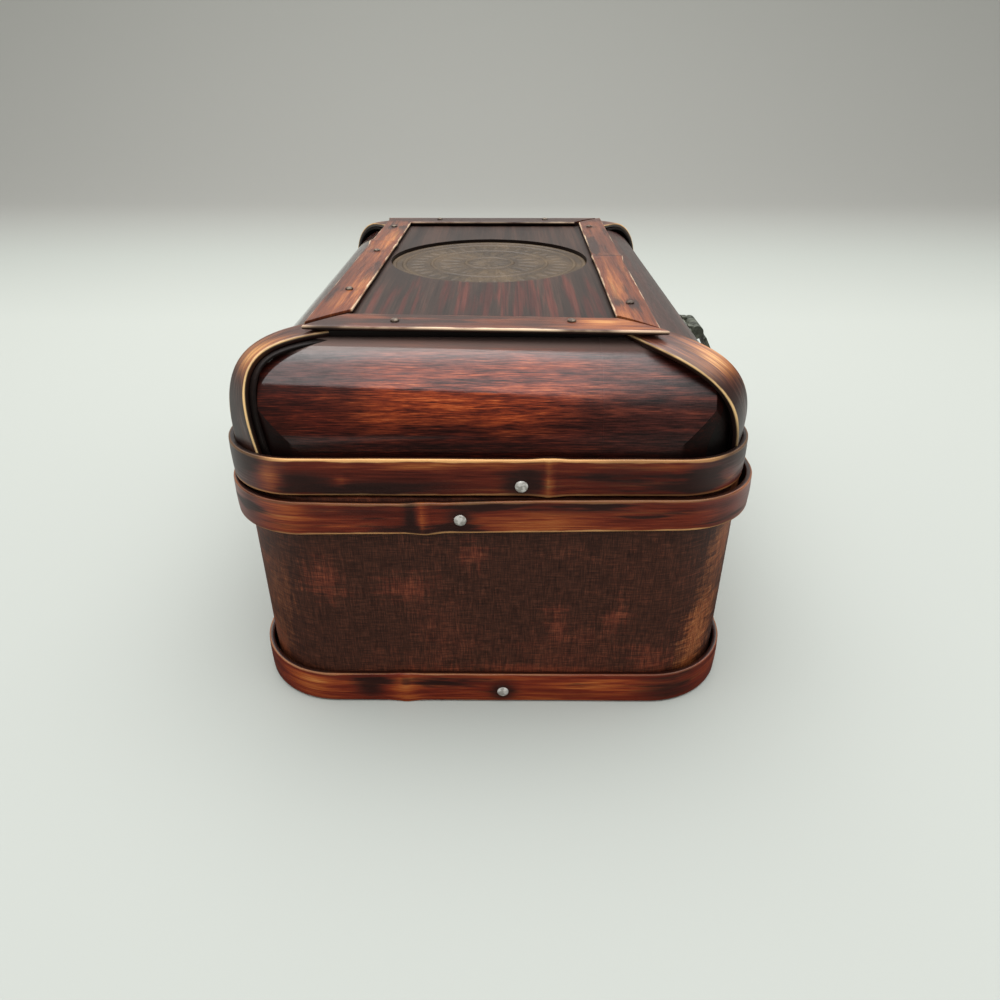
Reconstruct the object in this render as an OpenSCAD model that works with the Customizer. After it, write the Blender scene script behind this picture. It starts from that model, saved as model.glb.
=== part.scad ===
// Hinged ditty box of veneered wood, bound with bent bamboo strips.
// The table is z = 0, the hasp side faces -Y and the hinges are at +Y.

/* [Base box] */
// Outside length of the base wall
base_l = 248; // [200:1:300]
// Outside width of the base wall
base_w = 166; // [140:1:200]
// Height of the base wall's top edge above the table
base_h = 82.5; // [60:0.5:110]
// Thickness of the bent base wall
wall_t = 4; // [3:0.25:6]
// Outside corner radius of the base wall and the lid collar
body_corner_r = 31; // [29:0.5:34]
// Thickness of the floor board
floor_t = 4; // [3:0.5:6]

/* [Bamboo bands] */
// Thickness of every bamboo strip of the bands and hips
strip_t = 2; // [1.5:0.1:2.4]
// Radius of the eased outer edges of the strips
strip_edge_r = 0.6; // [0.3:0.1:0.7]
// Height of the band round the foot
bottom_band_h = 12.8; // [10:0.2:16]
// Height of the band round the base rim
base_rim_band_h = 11; // [9.6:0.2:14]
// Height of the band round the lid rim
lid_rim_band_h = 12.8; // [11.5:0.2:15]
// Inside corner radius of the bottom band
bottom_band_r = 27.5; // [25:0.5:29]
// Inside corner radius of the base rim band
base_rim_band_r = 24.5; // [22:0.5:28]
// Inside corner radius of the lid rim band
lid_rim_band_r = 22.5; // [21:0.5:25]
// Open seam between the two ends of a band, at the back
band_seam = 0.4; // [0.2:0.1:1]

/* [Lid] */
// Distance that the lid collar stands in from the base wall, on each side
lid_setback = 2; // [1:0.25:3]
// Distance that the whole lid sits towards the back of the base
lid_shift = 1.3; // [0:0.1:2]
// Parting gap between the base and the closed lid
lid_gap = 0.5; // [0.4:0.1:1.5]
// Height of the straight collar under the curved panels
collar_h = 10; // [8:0.5:11]
// Thickness of the collar
collar_t = 5; // [4.6:0.2:7]
// Distance that the curved panels stand in from the collar's outside
panel_setback = 2; // [1:0.25:2.4]
// Radius of the outward curve of the four panels
curve_r = 27.2; // [24:0.2:29]
// Height from the collar's top to the flat top of the panels
pillow_h = 30; // [29.4:0.2:34]
// Thickness of the four curved panels and the core board
panel_t = 2.5; // [2:0.1:3]
// Width of each panel's flat edge that carries the top board
panel_flange = 8; // [5:0.5:9]
// Side of the square glue block inside each lid corner
block_size = 18; // [14:0.5:20]

/* [Hip strips] */
// Width of the strips over the four lid corners
hip_w = 12.6; // [10:0.2:13]
// Inside radius of the bend of a hip strip
hip_bend_r = 20; // [17:0.5:21]
// Length of a hip strip's flat end on top of the panels
hip_tail = 10; // [7:0.5:12]
// Height of a hip strip's lower end above the collar's underside
hip_foot = 4; // [2:0.5:7]

/* [Top] */
// Reach of the bamboo frame past each end of the panels' flat top
frame_reach_x = 4.7; // [3:0.1:6]
// Reach of the bamboo frame past each long side of the panels' flat top
frame_reach_y = 3.2; // [2:0.1:4.4]
// Distance that the frame sits towards the back of the lid's middle
frame_shift = 1.5; // [0:0.1:1.8]
// Width of the frame strips
frame_strip_w = 12.6; // [10:0.1:12.8]
// Thickness of the frame strips
frame_t = 2.5; // [1.8:0.1:3]
// Overhang of the frame past the board below it
frame_overhang = 4; // [3:0.5:6]
// Gap in plan between the round medallion and the long frame strips
medallion_gap = 0.8; // [0.6:0.1:8]
// Thickness of the medallion
medallion_t = 1.5; // [1:0.1:1.8]
// Height and width of the medallion's raised rim
medallion_rim = 0.6; // [0.4:0.1:1]
// Distance of the medallion from the lid's middle, towards the right end
medallion_x = 9; // [0:0.5:20]

/* [Nails] */
// Radius of a nail's domed head
nail_head_r = 2.1; // [1.6:0.1:2.6]
// Height of a nail's domed head
nail_head_h = 0.8; // [0.5:0.1:1.2]
// Radius of a nail's shank
nail_shank_r = 0.9; // [0.6:0.05:1]
// Depth of a nail in the wood behind its strip
nail_grip = 2.4; // [1.5:0.1:2.6]
// Height of the bottom band's nails above the table
bottom_nail_z = 5; // [4:0.2:8]
// Height of the rim nails above the lower edge of their band
rim_nail_z = 4.6; // [3.8:0.2:6]
// Distance of the outer nails on the long sides from the ends of the box
nail_inset = 28; // [28:0.5:32]
// Distance of the inner nails on the long sides from the middle
nail_near_x = 40; // [25:1:48]
// Sideways place of the bottom band's end nail
bottom_nail_y = -3.7; // [-40:0.1:40]
// Sideways place of the base rim band's end nail
base_rim_nail_y = 9.5; // [-40:0.1:40]
// Sideways place of the lid rim band's end nail
lid_rim_nail_y = -9.2; // [-40:0.1:40]

/* [Hinges] */
// Distance of the middle of each hinge from the ends of the box
hinge_inset = 54; // [50:1:60]
// Length of a hinge along the back
hinge_l = 20; // [16:1:24]
// Height of one hinge leaf
hinge_leaf_h = 7.8; // [6.4:0.2:8]
// Thickness of the hinge leaves
leaf_t = 1; // [0.8:0.1:1.2]
// Outside radius of the hinge knuckles
knuckle_r = 2.4; // [2.2:0.1:3]
// Radius of the hinge pins
hinge_pin_r = 1; // [0.8:0.05:1.2]
// Share of a hinge's length that its middle knuckle takes
knuckle_share = 0.4; // [0.3:0.05:0.5]
// Radius of a hinge screw's head
screw_head_r = 1.6; // [1.2:0.1:1.9]

/* [Hasp] */
// Width of the hasp's lid plate
hasp_plate_w = 24; // [20:1:30]
// Height of the hasp's lid plate
hasp_plate_h = 16; // [14:0.5:18]
// Thickness of the hasp's plates
plate_t = 1.2; // [0.8:0.1:1.4]
// Outside radius of the hasp's knuckles
hasp_knuckle_r = 2.8; // [2.4:0.1:3]
// Radius of the hasp's pin
hasp_pin_r = 1.1; // [0.8:0.05:1.3]
// Length of the hasp's middle knuckle
hasp_mid_l = 9; // [6:0.5:12]
// Height of the hasp's pin above the parting line
hasp_axis_up = 15; // [12:0.5:16]
// Width of the hasp's tongue
tongue_w = 17; // [15:0.5:20]
// Length of the tongue from the pin to the middle of its round end
tongue_l = 25.5; // [24:0.5:30]
// Thickness of the tongue
tongue_t = 1.4; // [1:0.1:1.6]
// Angle at which the tongue stands off when it is unlatched
tongue_rest = 28; // [24:1:34]
// Width of the tongue's slot
slot_w = 4.8; // [4.4:0.1:6]
// Length of the tongue's slot
slot_l = 13.4; // [13:0.2:15]
// Wire radius of the staple
staple_wire_r = 1; // [0.8:0.05:1.1]
// Bend radius of the staple's wire centre line
staple_bend_r = 4.2; // [4:0.1:4.4]
// Straight part of the staple in front of its plate
staple_leg = 2.6; // [2.4:0.1:4]

/* [Hidden] */
$fn = 48;

// Clearance round a shank or between glued curved faces
fit = 0.05;
// Clearance of a turning pin in its knuckle
pin_fit = 0.08;
// Running gap between parts that move past each other
run_gap = 0.4;
// Overshoot of a cutting solid
over = 1;

// Outside size of the lid collar in plan
lid_l = base_l - 2 * lid_setback;
lid_w = base_w - 2 * lid_setback;

// Levels of the lid, from its underside up
lid_z = base_h + lid_gap;
pillow_z = lid_z + collar_h;
pillow_top = pillow_z + pillow_h;
board_top = pillow_top + strip_t;

// Plan size of the curved part of the lid
pillow_l = lid_l - 2 * panel_setback;
pillow_w = lid_w - 2 * panel_setback;

// Distance, along the corner diagonal, from the collar's square corner in to a hip strip
hip_chord = lid_rim_band_r - sqrt(pow(lid_rim_band_r, 2) - pow(hip_w / 2, 2));
hip_out = lid_rim_band_r * (sqrt(2) - 1) + hip_chord + 0.3;
hip_in = hip_out + strip_t;
// Plan corner radius of the panels, so that the corner just clears the hip strip
pillow_corner_r = (hip_in - panel_setback * sqrt(2)) / (sqrt(2) - 1);

// Opening between the panels' flat edges, filled by the core board
core_l = pillow_l - 2 * (curve_r + panel_flange);
core_w = pillow_w - 2 * (curve_r + panel_flange);

// Frame round the flat top, the board under it and the medallion in its opening
frame_l = pillow_l - 2 * curve_r + 2 * frame_reach_x;
frame_w = pillow_w - 2 * curve_r + 2 * frame_reach_y;
board_l = frame_l - 2 * frame_overhang;
board_w = frame_w - 2 * frame_overhang;
medallion_r = frame_w / 2 - frame_strip_w - medallion_gap;

// Outer faces of the bands that the hardware sits on
base_front_y = -base_w / 2 - strip_t;
base_back_y = base_w / 2 + strip_t;
lid_front_y = lid_shift - lid_w / 2 - strip_t;
lid_back_y = lid_shift + lid_w / 2 + strip_t;

// Hinges along the back, their axis behind the base rim band at the parting line
hinge_x = base_l / 2 - hinge_inset;
hinge_y = base_back_y + run_gap + knuckle_r;
hinge_z = base_h + lid_gap / 2;
hinge_mid_l = hinge_l * knuckle_share;
hinge_end_l = (hinge_l - hinge_mid_l) / 2 - run_gap;
base_leaf_top = hinge_z - knuckle_r - run_gap;
lid_leaf_low = hinge_z + knuckle_r + run_gap;

// Hasp axis in front of the lid plate
hasp_y = lid_front_y - plate_t - run_gap - hasp_knuckle_r;
hasp_z = lid_z + hasp_axis_up;
hasp_side_l = (tongue_w - hasp_mid_l) / 2 - run_gap;

// The tongue's slot and the staple share one height
staple_z = base_h - base_rim_band_h / 2;
slot_drop = hasp_z - staple_z;
staple_plate_h = 2 * (staple_bend_r + staple_wire_r);
staple_grip = strip_t + nail_grip;

// One end nail on each end, two pairs on each long side: [x, y, z, face]
FRONT = 0;
RIGHT = 1;
BACK = 2;
LEFT = 3;
FACE_TURN = [[90, 0, 0], [0, 90, 0], [-90, 0, 0], [0, -90, 0]];
nail_far_x = base_l / 2 - nail_inset;
side_nail_x = [-nail_far_x, -nail_near_x, nail_near_x, nail_far_x];

function band_spots(l, w, z, end_y, y0 = 0) = concat(
    [for (x = side_nail_x) [x, y0 - w / 2 - strip_t, z, FRONT]],
    [for (x = side_nail_x) [x, y0 + w / 2 + strip_t, z, BACK]],
    [[-l / 2 - strip_t, y0 + end_y, z, LEFT], [l / 2 + strip_t, y0 - end_y, z, RIGHT]]
);

bottom_spots = band_spots(base_l, base_w, bottom_nail_z, bottom_nail_y);
base_rim_spots = band_spots(
    base_l, base_w, base_h - base_rim_band_h + rim_nail_z, base_rim_nail_y
);
lid_rim_spots = band_spots(lid_l, lid_w, lid_z + rim_nail_z, lid_rim_nail_y, lid_shift);

// Nails of the top frame, in the frame's own plan: two or three to a strip
frame_line_x = frame_l / 2 - frame_strip_w / 2;
frame_line_y = frame_w / 2 - frame_strip_w / 2;
frame_nail_x = frame_l * 0.36;
frame_nail_y = frame_w * 0.25;
frame_spots = concat(
    [for (x = [-frame_nail_x, frame_nail_x]) [x, -frame_line_y]],
    [for (x = [-frame_nail_x * 0.75, 0.18 * frame_nail_x, frame_nail_x]) [x, frame_line_y]],
    [for (x = [-frame_line_x, frame_line_x], y = [-frame_nail_y, frame_nail_y]) [x, y]]
);

// Screws of one hinge leaf and pins of one hasp plate, along X
screw_dx = hinge_l / 2 - screw_head_r - 1.2;
screw_shank_r = screw_head_r * 0.5;
screw_head_h = 0.6;
screw_base_z = base_leaf_top - hinge_leaf_h / 2;
screw_lid_z = lid_leaf_low + hinge_leaf_h / 2;
plate_pin_dx = hasp_plate_w / 2 - screw_head_r - 1;
hasp_plate_z = lid_z + 1;
hasp_pins_z = hasp_plate_z + 4;

// Plan shape with four true corner arcs, centred on the origin
module rounded_rect(l, w, r) {
    union() {
        square([l, w - 2 * r], center = true);
        square([l - 2 * r, w], center = true);
        for (x = [-1, 1], y = [-1, 1])
            translate([x * (l / 2 - r), y * (w / 2 - r)]) circle(r = r, $fn = 96);
    }
}

// Cross-section of a bamboo strip: flat inner face at x = 0, eased outer edges
module strip_section(t, h) {
    r = strip_edge_r;
    union() {
        square([t - r, h]);
        translate([0, r]) square([t, h - 2 * r]);
        for (y = [r, h - r]) translate([t - r, y]) circle(r = r);
    }
}

// A strip bent round a box of l by w with inside corner radius r
module hoop(l, w, r, t, h) {
    difference() {
        union() {
            for (turn = [0, 180]) rotate([0, 0, turn]) {
                translate([l / 2, w / 2 - r, 0]) rotate([90, 0, 0])
                    linear_extrude(w - 2 * r) strip_section(t, h);
                translate([l / 2 - r, w / 2 - r, 0])
                    rotate_extrude(angle = 90, $fn = 96) translate([r, 0]) strip_section(t, h);
            }
            for (turn = [90, 270]) rotate([0, 0, turn]) {
                translate([w / 2, l / 2 - r, 0]) rotate([90, 0, 0])
                    linear_extrude(l - 2 * r) strip_section(t, h);
                translate([w / 2 - r, l / 2 - r, 0])
                    rotate_extrude(angle = 90, $fn = 96) translate([r, 0]) strip_section(t, h);
            }
        }
        translate([-band_seam / 2, w / 2 - over, -over])
            cube([band_seam, t + 2 * over, h + 2 * over]);
    }
}

// A nail along +Z: domed head above z = 0, shank down to -depth
module nail(head_r, head_h, shank_r, depth) {
    dome_r = (pow(head_r, 2) + pow(head_h, 2)) / (2 * head_h);
    rotate_extrude() union() {
        intersection() {
            square([head_r, head_h]);
            translate([0, head_h - dome_r]) circle(r = dome_r, $fn = 96);
        }
        translate([0, -depth]) square([shank_r, depth + head_h / 4]);
    }
}

module on_faces(spots) {
    for (s = spots) translate([s[0], s[1], s[2]]) rotate(FACE_TURN[s[3]]) children();
}

module band_nails(spots) {
    on_faces(spots) nail(nail_head_r, nail_head_h, nail_shank_r, strip_t + nail_grip);
}

// Holes that the shanks of a set of nails pass through or end in
module nail_holes(spots) {
    on_faces(spots) translate([0, 0, -strip_t - nail_grip - fit])
        cylinder(r = nail_shank_r + fit, h = strip_t + nail_grip + fit + over);
}

// The rows of small screws on the hinge leaves, and the pins of the hasp's plates
base_screw_spots = [for (s = [-1, 1], d = [-1, 1])
    [s * hinge_x + d * screw_dx, base_back_y + leaf_t, screw_base_z, BACK]];
lid_screw_spots = [for (s = [-1, 1], d = [-1, 1])
    [s * hinge_x + d * screw_dx, lid_back_y + leaf_t, screw_lid_z, BACK]];
hasp_pin_spots = [for (d = [-1, 1]) [d * plate_pin_dx, lid_front_y - plate_t, hasp_pins_z, FRONT]];
staple_pin_spots = [for (d = [-1, 1]) [d * plate_pin_dx, base_front_y - plate_t, staple_z, FRONT]];

module small_screws(spots, t) {
    on_faces(spots) nail(screw_head_r, screw_head_h, screw_shank_r, t + staple_grip);
}

module small_holes(spots, t) {
    on_faces(spots) translate([0, 0, -t - staple_grip - fit])
        cylinder(r = screw_shank_r + fit, h = t + staple_grip + fit + over);
}

// The two holes for the staple's legs
module staple_holes() {
    for (s = [-1, 1])
        translate([0, base_front_y - plate_t - over, staple_z + s * staple_bend_r])
            rotate([-90, 0, 0])
                cylinder(r = staple_wire_r + fit, h = over + plate_t + staple_grip + fit);
}

module base_wall() {
    color("#3a241f") difference() {
        linear_extrude(base_h) rounded_rect(base_l, base_w, body_corner_r);
        translate([0, 0, -over]) linear_extrude(base_h + 2 * over)
            rounded_rect(base_l - 2 * wall_t, base_w - 2 * wall_t, body_corner_r - wall_t);
        nail_holes(bottom_spots);
        nail_holes(base_rim_spots);
        small_holes(base_screw_spots, leaf_t);
        small_holes(staple_pin_spots, plate_t);
        staple_holes();
    }
}

module base_floor() {
    color("#2e1c18") linear_extrude(floor_t)
        rounded_rect(
            base_l - 2 * wall_t - 2 * fit, base_w - 2 * wall_t - 2 * fit,
            body_corner_r - wall_t - fit
        );
}

module bottom_band() {
    color("#6b2f18") difference() {
        hoop(base_l, base_w, bottom_band_r, strip_t, bottom_band_h);
        nail_holes(bottom_spots);
    }
}

module base_rim_band() {
    color("#84401c") difference() {
        translate([0, 0, base_h - base_rim_band_h])
            hoop(base_l, base_w, base_rim_band_r, strip_t, base_rim_band_h);
        nail_holes(base_rim_spots);
        small_holes(base_screw_spots, leaf_t);
        small_holes(staple_pin_spots, plate_t);
        staple_holes();
    }
}

module bottom_band_nails() {
    color("#b9b9b4") band_nails(bottom_spots);
}

module base_rim_nails() {
    color("#b9b9b4") band_nails(base_rim_spots);
}

// The pin's bore through a row of knuckles along X
module pin_bore(r, l, y, z) {
    translate([-l / 2 - over, y, z]) rotate([0, 90, 0]) cylinder(r = r, h = l + 2 * over);
}

// A knuckle from x0 to x1 with the strap that joins it to a leaf's face at leaf_y
module knuckle(x0, x1, r, y, z, strap_y0, strap_y1, strap_z0, strap_z1) {
    translate([x0, y, z]) rotate([0, 90, 0]) cylinder(r = r, h = x1 - x0);
    translate([x0, strap_y0, strap_z0])
        cube([x1 - x0, strap_y1 - strap_y0, strap_z1 - strap_z0]);
}

module hinge_base_leaves() {
    color("#4a4a44") difference() {
        for (s = [-1, 1]) translate([s * hinge_x, 0, 0]) union() {
            translate([-hinge_l / 2, base_back_y, base_leaf_top - hinge_leaf_h])
                cube([hinge_l, leaf_t, hinge_leaf_h]);
            for (e = [-1, 1]) translate([e * (hinge_l / 2 - hinge_end_l / 2), 0, 0])
                knuckle(
                    -hinge_end_l / 2, hinge_end_l / 2, knuckle_r, hinge_y, hinge_z,
                    base_back_y, base_back_y + run_gap + leaf_t, base_leaf_top - 1, hinge_z
                );
        }
        for (s = [-1, 1]) translate([s * hinge_x, 0, 0])
            pin_bore(hinge_pin_r + fit, hinge_l, hinge_y, hinge_z);
        small_holes(base_screw_spots, leaf_t);
    }
}

module hinge_base_screws() {
    color("#8b8a80") small_screws(base_screw_spots, leaf_t);
}

module hinge_pins() {
    color("#8b8a80") for (s = [-1, 1])
        translate([s * hinge_x - hinge_l / 2, hinge_y, hinge_z])
            rotate([0, 90, 0]) cylinder(r = hinge_pin_r, h = hinge_l);
}

module staple_plate() {
    color("#4f5348") difference() {
        translate([-hasp_plate_w / 2, base_front_y - plate_t, staple_z - staple_plate_h / 2])
            cube([hasp_plate_w, plate_t, staple_plate_h]);
        small_holes(staple_pin_spots, plate_t);
        staple_holes();
    }
}

module staple_plate_pins() {
    color("#8b8a80") small_screws(staple_pin_spots, plate_t);
}

// A wire loop in the upright plane across the front, its legs driven into the wall
module staple() {
    leg_l = staple_leg + plate_t + staple_grip;
    bend_y = base_front_y - plate_t - staple_leg;
    color("#5a5c52") union() {
        translate([0, bend_y, staple_z]) rotate([0, 90, 0]) rotate([0, 0, 180])
            rotate_extrude(angle = 180, $fn = 96)
                translate([staple_bend_r, 0]) circle(r = staple_wire_r);
        for (s = [-1, 1]) translate([0, bend_y, staple_z + s * staple_bend_r])
            rotate([-90, 0, 0]) cylinder(r = staple_wire_r, h = leg_l);
    }
}

module lid_collar() {
    color("#3a241f") difference() {
        translate([0, lid_shift, lid_z]) linear_extrude(collar_h)
            rounded_rect(lid_l, lid_w, body_corner_r);
        translate([0, lid_shift, lid_z - over]) linear_extrude(collar_h + 2 * over)
            rounded_rect(lid_l - 2 * collar_t, lid_w - 2 * collar_t, body_corner_r - collar_t);
        nail_holes(lid_rim_spots);
        small_holes(lid_screw_spots, leaf_t);
        small_holes(hasp_pin_spots, plate_t);
    }
}

// Section across the curved part of the lid: two curved shoulders and a flat top
module shoulder_section(w, h, r) {
    union() {
        translate([-w / 2, 0]) square([w, h - r]);
        translate([-w / 2 + r, 0]) square([w - 2 * r, h]);
        for (x = [-1, 1]) translate([x * (w / 2 - r), h - r]) circle(r = r, $fn = 128);
    }
}

// Section of one bent panel, on the -x side of a lid of width w
module panel_section(w) {
    edge = w / 2 - curve_r - panel_flange;
    difference() {
        shoulder_section(w, pillow_h, curve_r);
        translate([0, -over])
            shoulder_section(w - 2 * panel_t, pillow_h + over - panel_t, curve_r - panel_t);
        translate([-edge, -over]) square([w, pillow_h + 2 * over]);
    }
}

// Places children at a lid corner: origin at the collar's square corner, +x outwards
module at_corner(sx, sy) {
    translate([sx * lid_l / 2, lid_shift + sy * lid_w / 2, 0])
        rotate([0, 0, atan2(sy, sx)]) children();
}

// What the inner bend of a hip strip takes off the panels' mitred corner
module hip_relief() {
    axis_x = -hip_in - hip_bend_r;
    difference() {
        translate([axis_x, -curve_r, pillow_top - hip_bend_r])
            cube([curve_r * 2, 2 * curve_r, 2 * hip_bend_r]);
        translate([axis_x, curve_r + over, pillow_top - hip_bend_r]) rotate([90, 0, 0])
            cylinder(r = hip_bend_r - fit, h = 2 * curve_r + 2 * over, $fn = 128);
    }
}

module hip_reliefs() {
    for (sx = [-1, 1], sy = [-1, 1]) at_corner(sx, sy) hip_relief();
}

// Plan limits of the four panels: rounded outside corners, square mitres
module pillow_plan(wedge) {
    intersection() {
        rounded_rect(pillow_l, pillow_w, pillow_corner_r);
        polygon(wedge);
    }
}

mitre = curve_r + panel_flange + over;

module long_panel(s) {
    wedge = [
        [-pillow_l / 2, s * pillow_w / 2], [pillow_l / 2, s * pillow_w / 2],
        [pillow_l / 2 - mitre, s * (pillow_w / 2 - mitre)],
        [-pillow_l / 2 + mitre, s * (pillow_w / 2 - mitre)]
    ];
    difference() {
        translate([0, lid_shift, pillow_z]) intersection() {
            rotate([0, 0, s > 0 ? 180 : 0]) translate([-pillow_l / 2, 0, 0])
                rotate([90, 0, 90]) linear_extrude(pillow_l) panel_section(pillow_w);
            linear_extrude(pillow_h + over) pillow_plan(wedge);
        }
        hip_reliefs();
    }
}

module end_panel(s) {
    wedge = [
        [s * pillow_l / 2, -pillow_w / 2], [s * pillow_l / 2, pillow_w / 2],
        [s * (pillow_l / 2 - mitre), pillow_w / 2 - mitre],
        [s * (pillow_l / 2 - mitre), -pillow_w / 2 + mitre]
    ];
    difference() {
        translate([0, lid_shift, pillow_z]) intersection() {
            rotate([0, 0, s > 0 ? 180 : 0]) translate([0, pillow_w / 2, 0])
                rotate([90, 0, 0]) linear_extrude(pillow_w) panel_section(pillow_l);
            linear_extrude(pillow_h + over) pillow_plan(wedge);
        }
        hip_reliefs();
    }
}

module lid_front_panel() {
    color("#4d2a25") long_panel(-1);
}

module lid_back_panel() {
    color("#4d2a25") long_panel(1);
}

module lid_left_panel() {
    color("#6b2f22") end_panel(-1);
}

module lid_right_panel() {
    color("#6b2f22") end_panel(1);
}

// Solid blocks glued behind the mitres, shaped to the hollow of the panels
module lid_corner_blocks() {
    inset = panel_t + fit;
    color("#2e1c18") difference() {
        translate([0, lid_shift, pillow_z]) intersection() {
            translate([-pillow_l / 2, 0, 0]) rotate([90, 0, 90]) linear_extrude(pillow_l)
                shoulder_section(pillow_w - 2 * inset, pillow_h - inset, curve_r - inset);
            translate([0, pillow_w / 2, 0]) rotate([90, 0, 0]) linear_extrude(pillow_w)
                shoulder_section(pillow_l - 2 * inset, pillow_h - inset, curve_r - inset);
            linear_extrude(pillow_h) intersection() {
                rounded_rect(pillow_l, pillow_w, pillow_corner_r);
                for (x = [-1, 1], y = [-1, 1])
                    translate([
                        x * (pillow_l / 2 - panel_t - block_size / 2),
                        y * (pillow_w / 2 - panel_t - block_size / 2)
                    ]) square(block_size, center = true);
            }
        }
        hip_reliefs();
    }
}

module lid_core_board() {
    color("#2e1c18") translate([0, lid_shift, pillow_top - panel_t])
        linear_extrude(panel_t) square([core_l - 2 * fit, core_w - 2 * fit], center = true);
}

// Thin board on the panels' flat edges, with a round window and clipped corners
module lid_top_board() {
    color("#5a3833") difference() {
        translate([0, lid_shift + frame_shift, pillow_top]) linear_extrude(strip_t) difference() {
            square([board_l, board_w], center = true);
            translate([medallion_x, 0]) circle(r = medallion_r + run_gap / 2, $fn = 128);
        }
        for (sx = [-1, 1], sy = [-1, 1]) at_corner(sx, sy)
            translate([-hip_in - hip_bend_r - hip_tail - fit, -hip_w / 2 - fit, pillow_top - over])
                cube([lid_w, hip_w + 2 * fit, strip_t + 2 * over]);
        frame_nail_holes();
    }
}

module medallion() {
    color("#6a6150") translate([medallion_x, lid_shift + frame_shift, pillow_top])
        rotate_extrude($fn = 128) union() {
            square([medallion_r - medallion_rim, medallion_t - medallion_rim / 2]);
            translate([medallion_r - 3 * medallion_rim, 0])
                square([3 * medallion_rim, medallion_t]);
        }
}

module lid_rim_band() {
    color("#84401c") difference() {
        translate([0, lid_shift, lid_z])
            hoop(lid_l, lid_w, lid_rim_band_r, strip_t, lid_rim_band_h);
        nail_holes(lid_rim_spots);
        small_holes(lid_screw_spots, leaf_t);
        small_holes(hasp_pin_spots, plate_t);
    }
}

module lid_rim_nails() {
    color("#b9b9b4") band_nails(lid_rim_spots);
}

// One flat bamboo strip, bent once: foot behind the rim band, tail under the frame
module hip_strip(sx, sy) {
    foot_z = lid_z + hip_foot;
    bend_z = pillow_top - hip_bend_r;
    at_corner(sx, sy) translate([-hip_in - hip_bend_r, 0, 0]) union() {
        translate([hip_bend_r, -hip_w / 2, foot_z])
            linear_extrude(bend_z - foot_z) strip_section(strip_t, hip_w);
        translate([0, 0, bend_z]) rotate([90, 0, 0]) rotate_extrude(angle = 90, $fn = 128)
            translate([hip_bend_r, -hip_w / 2]) strip_section(strip_t, hip_w);
        translate([0, -hip_w / 2, pillow_top]) rotate([0, -90, 0])
            linear_extrude(hip_tail) strip_section(strip_t, hip_w);
    }
}

module hip_strip_front_left() {
    color("#a8622f") hip_strip(-1, -1);
}

module hip_strip_front_right() {
    color("#a8622f") hip_strip(1, -1);
}

module hip_strip_back_left() {
    color("#a8622f") hip_strip(-1, 1);
}

module hip_strip_back_right() {
    color("#a8622f") hip_strip(1, 1);
}

module frame_nail_holes() {
    depth = frame_t + strip_t;
    translate([0, lid_shift + frame_shift, board_top + frame_t]) for (s = frame_spots)
        translate([s[0], s[1], -depth - fit])
            cylinder(r = nail_shank_r + fit, h = depth + fit + over);
}

// A frame strip of length l along X, centred, mitred to the inside of the frame
module frame_strip(l) {
    w = frame_strip_w;
    intersection() {
        translate([-l / 2, -w / 2, 0]) rotate([90, 0, 90]) linear_extrude(l)
            translate([w, 0]) rotate([0, 0, 90]) strip_section(frame_t, w);
        linear_extrude(frame_t + over) polygon([
            [-l / 2, -w / 2], [l / 2, -w / 2], [l / 2 - w, w / 2], [-l / 2 + w, w / 2]
        ]);
    }
}

module framed(turn, off, l) {
    difference() {
        translate([0, lid_shift + frame_shift, board_top]) rotate([0, 0, turn])
            translate([0, -off + frame_strip_w / 2, 0]) frame_strip(l);
        frame_nail_holes();
    }
}

module frame_front_strip() {
    color("#9a5226") framed(0, frame_w / 2, frame_l);
}

module frame_back_strip() {
    color("#9a5226") framed(180, frame_w / 2, frame_l);
}

module frame_left_strip() {
    color("#8a4620") framed(-90, frame_l / 2, frame_w);
}

module frame_right_strip() {
    color("#8a4620") framed(90, frame_l / 2, frame_w);
}

module frame_nails() {
    color("#77766f") translate([0, lid_shift + frame_shift, board_top + frame_t])
        for (s = frame_spots) translate([s[0], s[1], 0])
            nail(nail_head_r * 0.85, nail_head_h, nail_shank_r, frame_t + strip_t);
}

module hinge_lid_leaves() {
    color("#4a4a44") difference() {
        for (s = [-1, 1]) translate([s * hinge_x, 0, 0]) union() {
            translate([-hinge_l / 2, lid_back_y, lid_leaf_low])
                cube([hinge_l, leaf_t, hinge_leaf_h]);
            knuckle(
                -hinge_mid_l / 2, hinge_mid_l / 2, knuckle_r, hinge_y, hinge_z,
                base_back_y + run_gap / 2, base_back_y + run_gap + leaf_t, hinge_z, lid_leaf_low + 1
            );
            translate([-hinge_mid_l / 2, lid_back_y, lid_leaf_low])
                cube([hinge_mid_l, base_back_y + run_gap + leaf_t - lid_back_y, 1]);
        }
        for (s = [-1, 1]) translate([s * hinge_x, 0, 0])
            pin_bore(hinge_pin_r + pin_fit, hinge_l, hinge_y, hinge_z);
        small_holes(lid_screw_spots, leaf_t);
    }
}

module hinge_lid_screws() {
    color("#8b8a80") small_screws(lid_screw_spots, leaf_t);
}

module hasp_plate() {
    strap_y = lid_front_y - plate_t - run_gap;
    color("#4f5348") difference() {
        union() {
            translate([-hasp_plate_w / 2, lid_front_y - plate_t, hasp_plate_z])
                cube([hasp_plate_w, plate_t, hasp_plate_h]);
            for (e = [-1, 1])
                translate([e * (hasp_mid_l / 2 + run_gap + hasp_side_l / 2), 0, 0])
                    knuckle(
                        -hasp_side_l / 2, hasp_side_l / 2, hasp_knuckle_r, hasp_y, hasp_z,
                        strap_y - 1, lid_front_y - plate_t / 2, hasp_z, hasp_z + hasp_knuckle_r
                    );
        }
        pin_bore(hasp_pin_r + fit, tongue_w, hasp_y, hasp_z);
        small_holes(hasp_pin_spots, plate_t);
    }
}

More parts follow.
